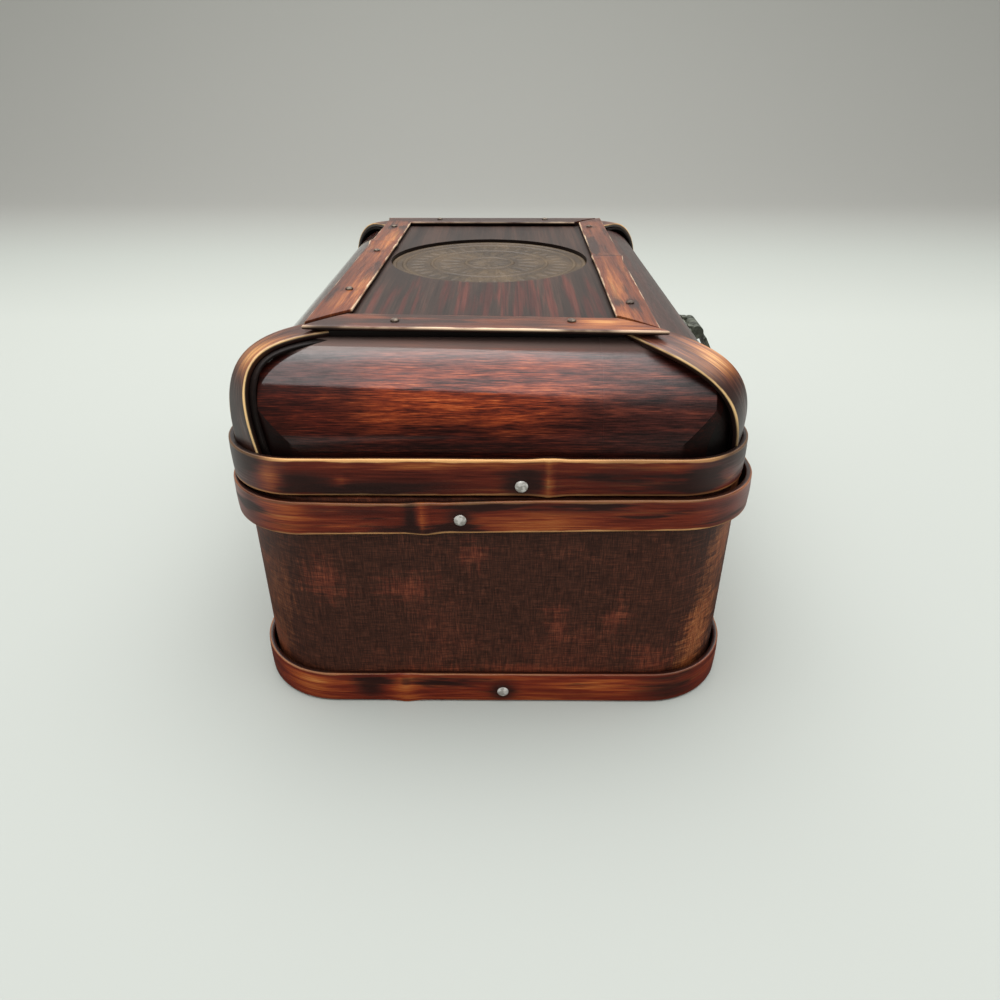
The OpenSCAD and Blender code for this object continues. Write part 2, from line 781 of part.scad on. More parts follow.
module hasp_plate_pins() {
    color("#8b8a80") small_screws(hasp_pin_spots, plate_t);
}

module hasp_pin() {
    color("#5a5c52") translate([-tongue_w / 2, hasp_y, hasp_z])
        rotate([0, 90, 0]) cylinder(r = hasp_pin_r, h = tongue_w);
}

// The tongue hangs from its knuckle, turned out to its unlatched angle
module hasp_tongue() {
    face_y = -hasp_knuckle_r;
    color("#4f5348") translate([0, hasp_y, hasp_z]) rotate([-tongue_rest, 0, 0])
        difference() {
            union() {
                translate([-hasp_mid_l / 2, 0, 0]) rotate([0, 90, 0])
                    cylinder(r = hasp_knuckle_r, h = hasp_mid_l);
                translate([-hasp_mid_l / 2, face_y, -hasp_knuckle_r - 1.4])
                    cube([hasp_mid_l, tongue_t, hasp_knuckle_r + 1.4]);
                translate([0, face_y + tongue_t, 0]) rotate([90, 0, 0]) linear_extrude(tongue_t)
                    union() {
                        translate([-tongue_w / 2, -tongue_l])
                            square([tongue_w, tongue_l - hasp_knuckle_r - 1.2]);
                        translate([0, -tongue_l]) circle(d = tongue_w, $fn = 96);
                    }
            }
            pin_bore(hasp_pin_r + pin_fit, hasp_mid_l, 0, 0);
            translate([0, 0, -slot_drop]) rotate([90, 0, 0]) linear_extrude(20, center = true)
                union() {
                    square([slot_w, slot_l - slot_w], center = true);
                    for (y = [-1, 1]) translate([0, y * (slot_l - slot_w) / 2])
                        circle(d = slot_w);
                }
        }
}

base_wall();
base_floor();
bottom_band();
base_rim_band();
bottom_band_nails();
base_rim_nails();
hinge_base_leaves();
hinge_base_screws();
hinge_pins();
staple_plate();
staple_plate_pins();
staple();
lid_collar();
lid_front_panel();
lid_back_panel();
lid_left_panel();
lid_right_panel();
lid_corner_blocks();
lid_core_board();
lid_top_board();
medallion();
lid_rim_band();
lid_rim_nails();
hip_strip_front_left();
hip_strip_front_right();
hip_strip_back_left();
hip_strip_back_right();
frame_front_strip();
frame_back_strip();
frame_left_strip();
frame_right_strip();
frame_nails();
hinge_lid_leaves();
hinge_lid_screws();
hasp_plate();
hasp_plate_pins();
hasp_pin();
hasp_tongue();
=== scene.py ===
"""Dressing of a hinged ditty box: lacquered veneer bound with scorched and bent bamboo strips."""
import math
from functools import partial

import bmesh
import bpy
import numpy as np
from mathutils import Matrix, Vector, noise


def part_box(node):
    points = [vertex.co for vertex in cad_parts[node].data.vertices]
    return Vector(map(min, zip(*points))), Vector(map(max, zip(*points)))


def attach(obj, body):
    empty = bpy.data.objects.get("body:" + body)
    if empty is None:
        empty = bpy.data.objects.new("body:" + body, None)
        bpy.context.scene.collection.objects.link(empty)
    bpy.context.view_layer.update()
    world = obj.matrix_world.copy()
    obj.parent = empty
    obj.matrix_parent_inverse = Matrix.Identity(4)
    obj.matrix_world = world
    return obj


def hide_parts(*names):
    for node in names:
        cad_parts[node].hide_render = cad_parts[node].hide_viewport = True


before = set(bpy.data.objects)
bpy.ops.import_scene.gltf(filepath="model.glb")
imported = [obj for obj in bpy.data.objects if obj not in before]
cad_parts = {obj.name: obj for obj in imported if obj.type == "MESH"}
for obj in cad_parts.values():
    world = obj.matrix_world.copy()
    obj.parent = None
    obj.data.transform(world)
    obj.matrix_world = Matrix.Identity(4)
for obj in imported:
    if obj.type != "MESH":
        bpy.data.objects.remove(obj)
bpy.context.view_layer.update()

MM = 0.001

# The photograph's frame and lens
PHOTO_PIXELS = 1000
FOCAL_PIXELS = 735
SENSOR_MM = 36
CAMERA_PLACE = (-316.5 * MM, -3.9 * MM, 194.2 * MM)
CAMERA_DOWN_DEG = 30.2
CAMERA_YAW_DEG = 0.37

# A wall brighter than white paper, as linear colour
WALL_LIGHT = (2.1, 2.1, 2.06, 1.0)

# Bamboo strips
SWEEP_STEP = 1.4 * MM
STRIP_WIDTH = 12.6 * MM
EDGE_R = 0.45 * MM

# Nail heads: their height, and the most that one is turned at random, in radians
NAIL_HIGH = 0.8 * MM
ANY_TURN = 6.28

# Kinds of node that come back often, each with its settings
ADD, SUBTRACT, MULTIPLY, DIVIDE, MULTIPLY_ADD, ABSOLUTE, MAXIMUM, SIGN, PINGPONG = (
    ("ShaderNodeMath", {"operation": word}) for word in (
        "ADD", "SUBTRACT", "MULTIPLY", "DIVIDE", "MULTIPLY_ADD", "ABSOLUTE", "MAXIMUM", "SIGN", "PINGPONG",
    )
)
ADD_VECTOR, SUBTRACT_VECTOR, MULTIPLY_VECTOR, SCALE_VECTOR, CROSS, NORMALIZE, LENGTH = (
    ("ShaderNodeVectorMath", {"operation": word}) for word in (
        "ADD", "SUBTRACT", "MULTIPLY", "SCALE", "CROSS_PRODUCT", "NORMALIZE", "LENGTH",
    )
)
STEP = "ShaderNodeMapRange", {"interpolation_type": "SMOOTHSTEP"}
BLEND = "ShaderNodeMix", {"data_type": "RGBA"}
RAMP = "ShaderNodeValToRGB", {}
ATTRIBUTE = "GeometryNodeInputNamedAttribute", {"data_type": "FLOAT"}
VECTOR_ATTRIBUTE = "GeometryNodeInputNamedAttribute", {"data_type": "FLOAT_VECTOR"}
STORE = "GeometryNodeStoreNamedAttribute", {"data_type": "FLOAT"}
STORE_VECTOR = "GeometryNodeStoreNamedAttribute", {"data_type": "FLOAT_VECTOR"}


def linear(code):
    """A hex colour as Blender's linear red, green, blue and alpha."""
    parts = [int(code[i:i + 2], 16) / 255 for i in (1, 3, 5)]
    return (*(p / 12.92 if p <= 0.04045 else ((p + 0.055) / 1.055) ** 2.4 for p in parts), 1.0)


def feed(node, values):
    """Gives a node's inputs, by name or number, a constant, a hex colour or another node's result."""
    for key, value in values.items():
        if isinstance(value, bpy.types.Node):
            value = next(output for output in value.outputs if output.enabled)
        if isinstance(value, bpy.types.NodeSocket):
            node.id_data.links.new(value, node.inputs[key])
        else:
            node.inputs[key].default_value = linear(value) if str(value).startswith("#") else value


def add_node(tree, kind, *values, stops=(), **settings):
    """Adds a node with its settings and links.

    Values go to the inputs in use, in order, or by name from a dict. Stops are the places and
    hex colours of a colour ramp.
    """
    kind, usual = (kind, {}) if isinstance(kind, str) else kind
    node = tree.nodes.new(kind)
    for name, value in {**usual, **settings}.items():
        setattr(node, name, value)
    used = [i for i, socket in enumerate(node.inputs) if socket.enabled]
    by_name = bool(values) and isinstance(values[0], dict)
    feed(node, values[0] if by_name else dict(zip(used, values)))
    for i, (place, code) in enumerate(stops):
        stop = node.color_ramp.elements[i] if i < 2 else node.color_ramp.elements.new(place)
        stop.position, stop.color = place, linear(code)
    return node


def grain_noise(add, place, scale, detail=3.0, rough=0.55, shift=(0, 0, 0)):
    """Noise stretched by a scale per axis, in cycles per metre."""
    stretched = add("ShaderNodeMapping", place, shift, (0, 0, 0), scale)
    return add("ShaderNodeTexNoise", stretched, 1.0, detail, rough)


def new_material(name):
    """An empty material, the function that adds its nodes, and its Principled shader."""
    material = bpy.data.materials.new(name)
    material.use_nodes = True
    tree = material.node_tree
    return material, partial(add_node, tree), tree.nodes["Principled BSDF"]


# Finishes

def scorched_bamboo(name, tones, edge, edge_high, edge_low, edge_from, steady, seed):
    """Split bamboo, bent over heat and lacquered.

    Long straight fibres, dark scorch marks where the flame touched, and bare pale bevels along
    both edges where the lacquer was wiped off. The bevels start at edge_from of the half width,
    are as strong as edge_high and edge_low at the two sides, and fade to steady at least.
    """
    material, add, shader = new_material(name)
    along, across, depth, ring, char, pale = (
        add("ShaderNodeAttribute", attribute_name=word).outputs["Fac"]
        for word in ("along", "across", "depth", "ring", "char", "pale")
    )
    place = add("ShaderNodeCombineXYZ", along, add(MULTIPLY, across, STRIP_WIDTH / 2), seed)

    # Fibres 0.4 mm wide, strands 1 mm wide and 20 mm long, streaks 3 mm wide, scorch clouds
    fibre = grain_noise(add, place, (90, 2600, 1))
    strand = grain_noise(add, place, (48, 1000, 1), 4.0, 0.6, shift=(0, 0, 2))
    streak = grain_noise(add, place, (14, 330, 1), 2.0, shift=(0, 0, 5))
    cloud = grain_noise(add, place, (19, 150, 1), 4.0, 0.6, shift=(0, 0, 7))
    tone = add(MULTIPLY_ADD, strand, 0.40, add(MULTIPLY, fibre, 0.25))
    tone = add(MULTIPLY_ADD, streak, 0.35, tone)
    tone = add(MULTIPLY_ADD, pale, 0.16, tone)
    body = add(RAMP, tone, stops=tones)

    # Scorch: the clouds' dark side, the named marks and the rings of the nodes, ragged along the fibres
    burnt = add(MULTIPLY_ADD, ring, 0.5, add(ADD, add(STEP, cloud, 0.50, 0.66, 0.0, 0.8), char))
    ragged = add(MULTIPLY_ADD, strand, 1.5, burnt)
    ragged = add(MULTIPLY_ADD, pale, -0.6, ragged)
    burnt = add(STEP, ragged, 0.80, 1.75)
    colour = add(BLEND, add(MULTIPLY, burnt, 0.90), body, "#240e08")

    # Bare bevels that wander, come and go, and stop where the strip is scorched
    wander = grain_noise(add, place, (60, 200, 1), shift=(3, 0, 3))
    come_go = add(STEP, grain_noise(add, place, (16, 1, 1), 2.0, shift=(9, 0, 9)), 0.36, 0.56, steady, 1.0)
    wide = add(MULTIPLY_ADD, wander, 0.30, add(ABSOLUTE, across))
    bare = add(STEP, wide, edge_from + 0.15, edge_from + 0.24)
    side = add(STEP, across, -0.1, 0.1, edge_low, edge_high)
    bare = add(MULTIPLY, bare, add(MULTIPLY, side, come_go))
    bare = add(MULTIPLY, bare, add(STEP, char, 0.25, 0.95, 1.0, 0.12))
    bare = add(MULTIPLY, bare, add(STEP, depth, 0.45, 0.85))
    colour = add(BLEND, bare, colour, edge)
    # The cut sides and underside are darkened to near-black: partly dark burnt end grain, partly painted
    # shade under the strip's edges
    cut = add(STEP, depth, 0.82, 0.60)
    colour = add(BLEND, add(MULTIPLY, cut, 0.9), colour, "#1a0b07")

    rough = add(STEP, add(ADD, bare, burnt), 0.0, 1.0, 0.34, 0.52)
    rise = add(MULTIPLY_ADD, strand, 0.8, fibre)
    feed(shader, {
        "Base Color": colour, "Roughness": rough, "Specular IOR Level": 0.4, "Coat Weight": 0.22,
        "Coat Roughness": 0.2, "Normal": add("ShaderNodeBump", {"Distance": 0.07 * MM, "Height": rise}),
    })
    return material


def shellacked_panel(name, grain, lit_rub_place, lit_rub_size):
    """Sliced veneer, stained and shellacked by hand to a gloss.

    Fine straight grain; a redder, lighter middle, partly stain rubbed through and partly painted light
    where the lamp above falls on the curve; near-black edges, partly a darker finish and partly
    painted shade; small dusty nibs that break up the shine.
    """
    material, add, shader = new_material(name)
    place = add("ShaderNodeTexCoord").outputs["Object"]
    # Grain lines about 0.4 mm apart and 7 mm long, in streaks of 2.4 mm
    fine = tuple(150 if axis == grain else 2500 for axis in "xyz")
    broad = tuple(26 if axis == grain else 420 for axis in "xyz")
    line = grain_noise(add, place, fine, 5.0, 0.65)
    streak = grain_noise(add, place, broad)
    cloud = grain_noise(add, place, (22, 22, 30))
    tone = add(MULTIPLY_ADD, line, 0.6, add(MULTIPLY, streak, 0.4))

    # Distance from the lighter middle, in half-sizes of it. The middle is partly rubbed-through stain and
    # partly painted light from the lamp above
    offset = add(SUBTRACT_VECTOR, place, lit_rub_place)
    far = add(LENGTH, add(MULTIPLY_VECTOR, offset, tuple(1 / s for s in lit_rub_size)))
    far = add(ADD, far, add(MULTIPLY, add(SUBTRACT, cloud, 0.5), 1.6))
    rubbed = add(STEP, far, 1.0, 0.15)
    # The dark ramp is the stain; the light ramp is its lighter, redder copy for the middle, partly painted
    # lamplight
    dark = add(RAMP, tone, stops=[
        (0.36, "#120503"), (0.48, "#2f0d07"), (0.58, "#4d180c"), (0.70, "#7c3018"),
    ])
    light = add(RAMP, tone, stops=[
        (0.36, "#220a05"), (0.45, "#581c0c"), (0.52, "#803013"), (0.59, "#a64b20"), (0.70, "#cf7c48"),
    ])
    # The relieved mitres are painted near-black as shade, for the shadow gap beside the hip strips, and
    # left dull
    turned = add("ShaderNodeSeparateXYZ", add("ShaderNodeTexCoord").outputs["Normal"]).outputs
    face = add(STEP, add(ABSOLUTE, turned["xyz".index(grain)]), 0.16, 0.08)
    colour = add(BLEND, rubbed, dark, light)
    colour = add(BLEND, add(STEP, face, 0.0, 1.0, 0.75, 0.0), colour, "#0c0504")
    # The end panels go nearly black towards their edges and corners, partly a darker finish and partly
    # painted shade beside the strips and band; their flat lap turns a dusty grey
    most = 0.8 if grain == "y" else 0.3
    colour = add(BLEND, add(STEP, far, 1.0, 1.75, 0.0, most), colour, "#140806")
    split = add("ShaderNodeSeparateXYZ", place).outputs
    # A dusty grey painted on the flat lap: partly dirt, partly a painted sheen where the polish shines up
    # to the frame
    dust_and_sheen = add(STEP, split[2], 120.4 * MM, 122.4 * MM)
    colour = add(BLEND, add(MULTIPLY, dust_and_sheen, most), colour, "#6a5a54")

    # Open grain breaks the polish into fine lines; it is duller towards the hasp side
    nibs = grain_noise(add, place, (1600, 1600, 1600), 2.0)
    sunk = add(MULTIPLY_ADD, nibs, 0.35, line)
    polish = add(MULTIPLY, add(STEP, sunk, 0.54, 0.74, 0.7, 1.0), face)
    polish = add(MULTIPLY, polish, add(STEP, dust_and_sheen, 0.0, 1.0, 1.0, 0.5))
    dull = add(STEP, split[1], 10 * MM, -60 * MM, 0.06, 0.38)
    feed(shader, {
        "Base Color": colour, "Roughness": 0.5, "Specular IOR Level": 0.12, "Coat Weight": polish,
        "Coat Roughness": dull, "Normal": add("ShaderNodeBump", {"Distance": 0.03 * MM, "Height": sunk}),
        "Coat Normal": add("ShaderNodeBump", {"Distance": 0.008 * MM, "Height": sunk}),
    })
    return material


def worn_wall_veneer(name):
    """Veneer over a cloth-backed core, stained nearly black and worn.

    The cloth prints through as a fine cross-hatch; the stain is rubbed off in red-brown patches
    and along the rounded corners.
    """
    material, add, shader = new_material(name)
    place = add("ShaderNodeTexCoord").outputs["Object"]
    # Threads about 0.3 mm apart, upright and level, and brush strokes 1.4 mm apart
    level = grain_noise(add, place, (170, 170, 3300), 4.0, 0.65)
    upright = grain_noise(add, place, (3300, 3300, 200), 4.0, 0.65)
    weave = add(MULTIPLY, add(ADD, level, upright), 0.5)
    patch = grain_noise(add, place, (24, 24, 36), 3.0, 0.6, shift=(0.3, 0.75, 0.2))
    level_strokes = grain_noise(add, place, (60, 60, 700))
    strokes = add(ADD, level_strokes, grain_noise(add, place, (700, 700, 80)))
    torn = add(MULTIPLY_ADD, strokes, 0.34, patch)
    torn = add(MULTIPLY_ADD, weave, 0.25, torn)
    worn = add(STEP, torn, 0.93, 1.24)

    # The near end is rubbed in a few places, given in mm with their half-sizes
    split = add("ShaderNodeSeparateXYZ", place).outputs
    near = add(STEP, split[0], -112 * MM, -118 * MM)
    worn = add(MULTIPLY, worn, add(STEP, near, 0.0, 1.0, 1.0, 0.3))
    for y, z, half_y, half_z in (
        (55, 52, 8, 9), (28, 49, 11, 7), (6, 62, 5, 8), (-21, 33, 6, 10), (-41, 37, 5, 9), (-54, 19, 11, 7),
        (-10, 14, 40, 3),
    ):
        aside = add(DIVIDE, add(SUBTRACT, split[1], y * MM), half_y * MM)
        above = add(DIVIDE, add(SUBTRACT, split[2], z * MM), half_z * MM)
        away = add(LENGTH, add("ShaderNodeCombineXYZ", aside, above))
        frayed = add(MULTIPLY_ADD, strokes, -2.4, away)
        spot = add(MULTIPLY, add(STEP, frayed, -1.2, -2.6, 0.0, 0.6), near)
        worn = add(MAXIMUM, worn, spot)

    # The rounded corners are rubbed in a narrow upright streak, most on the hasp side
    end = add(STEP, add(ABSOLUTE, split[0]), 100 * MM, 112 * MM)
    leaning = add(MULTIPLY_ADD, split[2], 0.16, split[1])
    ragged = add(MULTIPLY_ADD, strokes, 14 * MM, leaning)
    hasp_side = add(MULTIPLY, add(STEP, ragged, -46 * MM, -51 * MM), add(STEP, ragged, -62 * MM, -55 * MM))
    back_side = add(MULTIPLY, add(STEP, ragged, 86 * MM, 91 * MM), add(STEP, split[2], 70 * MM, 40 * MM))
    corner = add(MULTIPLY, end, add(ADD, hasp_side, add(MULTIPLY, back_side, 0.35)))
    corner = add(MULTIPLY, corner, add(STEP, torn, 0.66, 1.05))

    dark = add(RAMP, weave, stops=[(0.36, "#28120b"), (0.50, "#402115"), (0.62, "#5e3221")])
    red = add(RAMP, weave, stops=[(0.36, "#46180e"), (0.50, "#80341f"), (0.62, "#b65e38")])
    amber = add(RAMP, weave, stops=[(0.36, "#542512"), (0.50, "#9c5128"), (0.62, "#cf8a50")])
    colour = add(BLEND, add(MULTIPLY, worn, 0.8), dark, red)
    colour = add(BLEND, add(MULTIPLY, corner, 0.7), colour, amber)
    feed(shader, {
        "Base Color": colour, "Roughness": 0.5, "Specular IOR Level": 0.35, "Coat Weight": 0.08,
        "Coat Roughness": 0.3, "Normal": add("ShaderNodeBump", {"Distance": 0.04 * MM, "Height": weave}),
    })
    return material


def waxed_top_veneer(name):
    """The lid's flat board: straight-grained veneer, grey-brown with red streaks, waxed."""
    material, add, shader = new_material(name)
    place = add("ShaderNodeTexCoord").outputs["Object"]
    # Grain lines about 0.7 mm apart and 33 mm long, in streaks of 5 mm
    line = grain_noise(add, place, (30, 1500, 1500), 4.0)
    streak = grain_noise(add, place, (8, 190, 190))
    cloud = grain_noise(add, place, (14, 330, 30), 5.0, 0.6, shift=(0.1, 0.45, 0))
    # The redder part lies in front of the medallion
    offset = add(SUBTRACT_VECTOR, place, (-55 * MM, 2 * MM, 125 * MM))
    far = add(LENGTH, add(MULTIPLY_VECTOR, offset, (30, 24, 10)))
    cloud = add(MULTIPLY_ADD, far, -0.16, cloud)
    tone = add(MULTIPLY_ADD, line, 0.5, add(MULTIPLY, streak, 0.5))
    brown = add(RAMP, tone, stops=[(0.34, "#1b0f0b"), (0.50, "#2f1f19"), (0.66, "#493229")])
    red = add(RAMP, tone, stops=[(0.34, "#2d100d"), (0.50, "#4e1f18"), (0.66, "#6d352a")])
    colour = add(BLEND, add(STEP, cloud, 0.36, 0.52, 0.0, 0.85), brown, red)
    # Its cut ends are painted near-black: painted shade, as they lie in shadow under the frame strips
    upward = add("ShaderNodeSeparateXYZ", add("ShaderNodeTexCoord").outputs["Normal"]).outputs[2]
    colour = add(BLEND, add(STEP, upward, 0.7, 0.3), colour, "#150b08")
    feed(shader, {
        "Base Color": colour, "Roughness": 0.45, "Specular IOR Level": 0.25, "Coat Weight": 0.1,
        "Coat Roughness": 0.3, "Normal": add("ShaderNodeBump", {"Distance": 0.03 * MM, "Height": tone}),
    })
    return material


def stained_board(name, tones):
    """Plain softwood inside the box: dark water stain, no polish."""
    material, add, shader = new_material(name)
    place = add("ShaderNodeTexCoord").outputs["Object"]
    # Grain lines about 1.1 mm apart and 50 mm long, in streaks of 8 mm
    line = grain_noise(add, place, (20, 900, 900), 4.0)
    streak = grain_noise(add, place, (6, 120, 120))
    tone = add(MULTIPLY_ADD, line, 0.5, add(MULTIPLY, streak, 0.5))
    feed(shader, {
        "Base Color": add(RAMP, tone, stops=tones), "Roughness": 0.62, "Specular IOR Level": 0.2,
        "Normal": add("ShaderNodeBump", {"Distance": 0.08 * MM, "Height": line}),
    })
    return material


def hammered_nail(name, bright, dull, roughness, metallic):
    """Soft wire nail, its head flattened by the hammer: bright flats, grime round them."""
    material, add, shader = new_material(name)
    place = add("ShaderNodeTexCoord").outputs["Object"]
    # Hammer flats about 1.5 mm across, scratches finer than 0.2 mm
    flats = grain_noise(add, place, (650, 650, 650), 1.0)
    grit = grain_noise(add, place, (5200, 5200, 5200), 2.0)
    colour = add(BLEND, add(STEP, flats, 0.40, 0.62), dull, bright)
    rise = add(MULTIPLY_ADD, grit, 0.15, flats)
    feed(shader, {
        "Base Color": colour, "Roughness": roughness, "Metallic": metallic,
        "Normal": add("ShaderNodeBump", {"Distance": 0.18 * MM, "Height": rise}),
    })
    return material


def patinated_brass(name):
    """Cast brass gone dark green-grey, rubbed a little brighter on its high spots."""
    material, add, shader = new_material(name)
    place = add("ShaderNodeTexCoord").outputs["Object"]
    # Clouds of patina about 4 mm across and casting pits of 0.6 mm
    cloud = grain_noise(add, place, (240, 240, 240), 4.0, 0.62)
    pits = grain_noise(add, place, (1600, 1600, 1600), 2.0)
    colour = add(RAMP, cloud, stops=[
        (0.34, "#33362e"), (0.52, "#565a4f"), (0.66, "#7b7c6c"), (0.80, "#9a9272"),
    ])
    rise = add(MULTIPLY_ADD, pits, 0.5, cloud)
    feed(shader, {
        "Base Color": colour, "Roughness": add(STEP, cloud, 0.3, 0.7, 0.62, 0.40), "Metallic": 0.4,
        "Normal": add("ShaderNodeBump", {"Distance": 0.12 * MM, "Height": rise}),
    })
    return material


def soapstone(name):
    """Carved soapstone, olive grey, oiled: paler on its raised lines than in the cuts."""
    material, add, shader = new_material(name)
    place = add("ShaderNodeTexCoord").outputs["Object"]
    raised = add("ShaderNodeAttribute", attribute_name="raised").outputs["Fac"]
    # Clouds in the stone about 17 mm across and specks of 1.1 mm
    cloud = grain_noise(add, place, (60, 60, 60), 4.0, 0.6)
    speck = grain_noise(add, place, (900, 900, 900), 2.0)
    tone = add(MULTIPLY_ADD, cloud, 0.7, add(MULTIPLY, speck, 0.3))
    base = add(RAMP, tone, stops=[(0.30, "#2a2018"), (0.50, "#453626"), (0.70, "#604d36")])
    colour = add(BLEND, add(STEP, raised, 0.15, 0.95, 0.0, 0.30), base, "#675338")
    feed(shader, {
        "Base Color": colour, "Roughness": 0.45, "Specular IOR Level": 0.35,
        "Normal": add("ShaderNodeBump", {"Distance": 0.10 * MM, "Height": tone}),
    })
    return material


# Geometry trees

def geometry_tree(name, inputs):
    """A new tree with a geometry in and out, the function that adds its nodes, and its inputs."""
    tree = bpy.data.node_groups.new(name, "GeometryNodeTree")
    tree.interface.new_socket("Geometry", in_out="INPUT", socket_type="NodeSocketGeometry")
    for label, kind in inputs:
        tree.interface.new_socket(label, in_out="INPUT", socket_type="NodeSocket" + kind)
    tree.interface.new_socket("Geometry", in_out="OUTPUT", socket_type="NodeSocketGeometry")
    add = partial(add_node, tree)
    return tree, add, add("NodeGroupInput").outputs


def strip_tree():
    """Sweeps a strip section along a path.

    The path's points carry the way the strip faces and how far its two edges wander; bamboo
    nodes come every so often, each a low ring with a swelling of the whole strip.
    """
    tree, add, inputs = geometry_tree("bamboo_strip", [
        ("Section", "Object"), ("Material", "Material"), ("Step", "Float"), ("Width", "Float"),
        ("Thickness", "Float"), ("Wobble", "Float"), ("Swell", "Float"), ("First Node", "Float"),
        ("Node Spacing", "Float"), ("Start Skew", "Float"), ("End Skew", "Float"), ("Seed", "Float"),
    ])
    path = add("GeometryNodeMeshToCurve", inputs["Geometry"])
    path = add("GeometryNodeResampleCurve", {"Curve": path, "Length": inputs["Step"]}, mode="LENGTH")
    spline = add("GeometryNodeSplineParameter").outputs
    path = add(STORE, path, True, "along", spline["Length"])
    path = add(STORE, path, True, "share", spline["Factor"])
    path = add(STORE_VECTOR, path, True, "heading", add("GeometryNodeInputTangent"))
    path = add(STORE_VECTOR, path, True, "spine", add("GeometryNodeInputPosition"))
    section = add("GeometryNodeObjectInfo", inputs["Section"])
    section = add("GeometryNodeMeshToCurve", section.outputs["Geometry"])
    swept = add("GeometryNodeCurveToMesh", {0: path, 1: section, "Fill Caps": True})

    along, across, depth = add(ATTRIBUTE, "along"), add(ATTRIBUTE, "across"), add(ATTRIBUTE, "depth")
    out, heading = add(VECTOR_ATTRIBUTE, "out"), add(VECTOR_ATTRIBUTE, "heading")
    wide = add(NORMALIZE, add(CROSS, heading, out))

    # Distance to the nearest bamboo node: its ring reaches 1.3 mm each way, its swelling 7 mm
    turns = add(DIVIDE, add(SUBTRACT, along, inputs["First Node"]), inputs["Node Spacing"])
    to_node = add(MULTIPLY, add(PINGPONG, turns, 0.5), inputs["Node Spacing"])
    ring = add(STEP, to_node, 1.3 * MM, 0.2 * MM)
    bulge = add(STEP, to_node, 7.0 * MM, 0.0)

    # Each edge wanders by itself, fading to nothing at the middle of the strip
    edge = add(MULTIPLY, add(SIGN, across), 4.0)
    where = add("ShaderNodeCombineXYZ", add(MULTIPLY, along, 22.0), edge, inputs["Seed"])
    wander = add(SUBTRACT, add("ShaderNodeTexNoise", where, 1.0, 2.5, 0.5), 0.5)
    wander = add(MULTIPLY, wander, add(MULTIPLY, inputs["Wobble"], 2.0))
    grow = add(ADD, wander, add(MULTIPLY, bulge, inputs["Swell"]))
    half = add(ADD, add(MULTIPLY, inputs["Width"], 0.5), grow)
    reach = add(MULTIPLY, half, across)
    lean = add("ShaderNodeMapRange", across, -1.0, 1.0)
    lift = add("ShaderNodeMix", lean, add(ATTRIBUTE, "lift_low"), add(ATTRIBUTE, "lift_high"))
    reach = add(ADD, reach, lift)

    # The outer face: crowned a little, raised at the rings
    crown = add(MULTIPLY, add(MULTIPLY, across, across), -0.18 * MM)
    face = add(MULTIPLY, ring, 0.28 * MM)
    face = add(ADD, face, add(MULTIPLY, bulge, 0.25 * MM))
    face = add(ADD, add(ADD, face, crown), inputs["Thickness"])
    rise = add(MULTIPLY, face, depth)

    # Mitres: the two ends slide along the strip by their place across it
    skew = add("ShaderNodeMix", add(ATTRIBUTE, "share"), inputs["Start Skew"], inputs["End Skew"])
    slide = add(MULTIPLY, skew, across)
    place = add(VECTOR_ATTRIBUTE, "spine")
    for way, amount in (out, rise), (wide, reach), (heading, slide):
        place = add(ADD_VECTOR, place, add(SCALE_VECTOR, way, amount))
    swept = add(STORE, swept, True, "ring", ring)
    swept = add("GeometryNodeSetPosition", swept, True, place)
    swept = add("GeometryNodeSetShadeSmooth", swept)
    swept = add("GeometryNodeRealizeInstances", swept)
    swept = add("GeometryNodeSetMaterial", swept, True, inputs["Material"])
    add("NodeGroupOutput", swept)
    return tree


def scatter_tree():
    """Sets one shape on every point, standing the way the point faces, with a random turn."""
    tree, add, inputs = geometry_tree("set_on_points", [
        ("Shape", "Object"), ("Material", "Material"), ("Turn", "Float"), ("Seed", "Int"),
    ])
    shape = add("GeometryNodeObjectInfo", inputs["Shape"])
    facing = {"Vector": add(VECTOR_ATTRIBUTE, "facing")}
    stand = add("FunctionNodeAlignRotationToVector", facing, axis="Z")
    turn = add("FunctionNodeRandomValue", {"Seed": inputs["Seed"]}, data_type="FLOAT_VECTOR")
    spin = add(MULTIPLY_VECTOR, turn, add("ShaderNodeCombineXYZ", 0.0, 0.0, inputs["Turn"]))
    stand = add("FunctionNodeRotateRotation", stand, spin, rotation_space="LOCAL")
    placed = add("GeometryNodeInstanceOnPoints", {
        "Points": inputs["Geometry"], "Instance": shape.outputs["Geometry"], "Rotation": stand,
    })
    placed = add("GeometryNodeRealizeInstances", placed)
    placed = add("GeometryNodeSetMaterial", placed, True, inputs["Material"])
    add("NodeGroupOutput", placed)
    return tree


def radial_tree():
    """Sets one shape on every point with its +X along the way the point faces, lying flat."""
    tree, add, inputs = geometry_tree("set_round_a_ring", [("Shape", "Object"), ("Material", "Material")])
    shape = add("GeometryNodeObjectInfo", inputs["Shape"])
    facing = {"Vector": add(VECTOR_ATTRIBUTE, "facing")}
    lie = add("FunctionNodeAlignRotationToVector", facing, axis="X", pivot_axis="Z")
    placed = add("GeometryNodeInstanceOnPoints", {
        "Points": inputs["Geometry"], "Instance": shape.outputs["Geometry"], "Rotation": lie,
    })
    placed = add("GeometryNodeRealizeInstances", placed)
    placed = add("GeometryNodeSetMaterial", placed, True, inputs["Material"])
    add("NodeGroupOutput", placed)
    return tree


# Meshes

def new_object(name, data):
    made = bpy.data.objects.new(name, data)
    bpy.context.scene.collection.objects.link(made)
    return made


def built(name, shape, smooth=True):
    """An object from a finished bmesh, which is then freed."""
    for face in shape.faces:
        face.smooth = smooth
    mesh = bpy.data.meshes.new(name)
    shape.to_mesh(mesh)
    shape.free()
    return new_object(name, mesh)


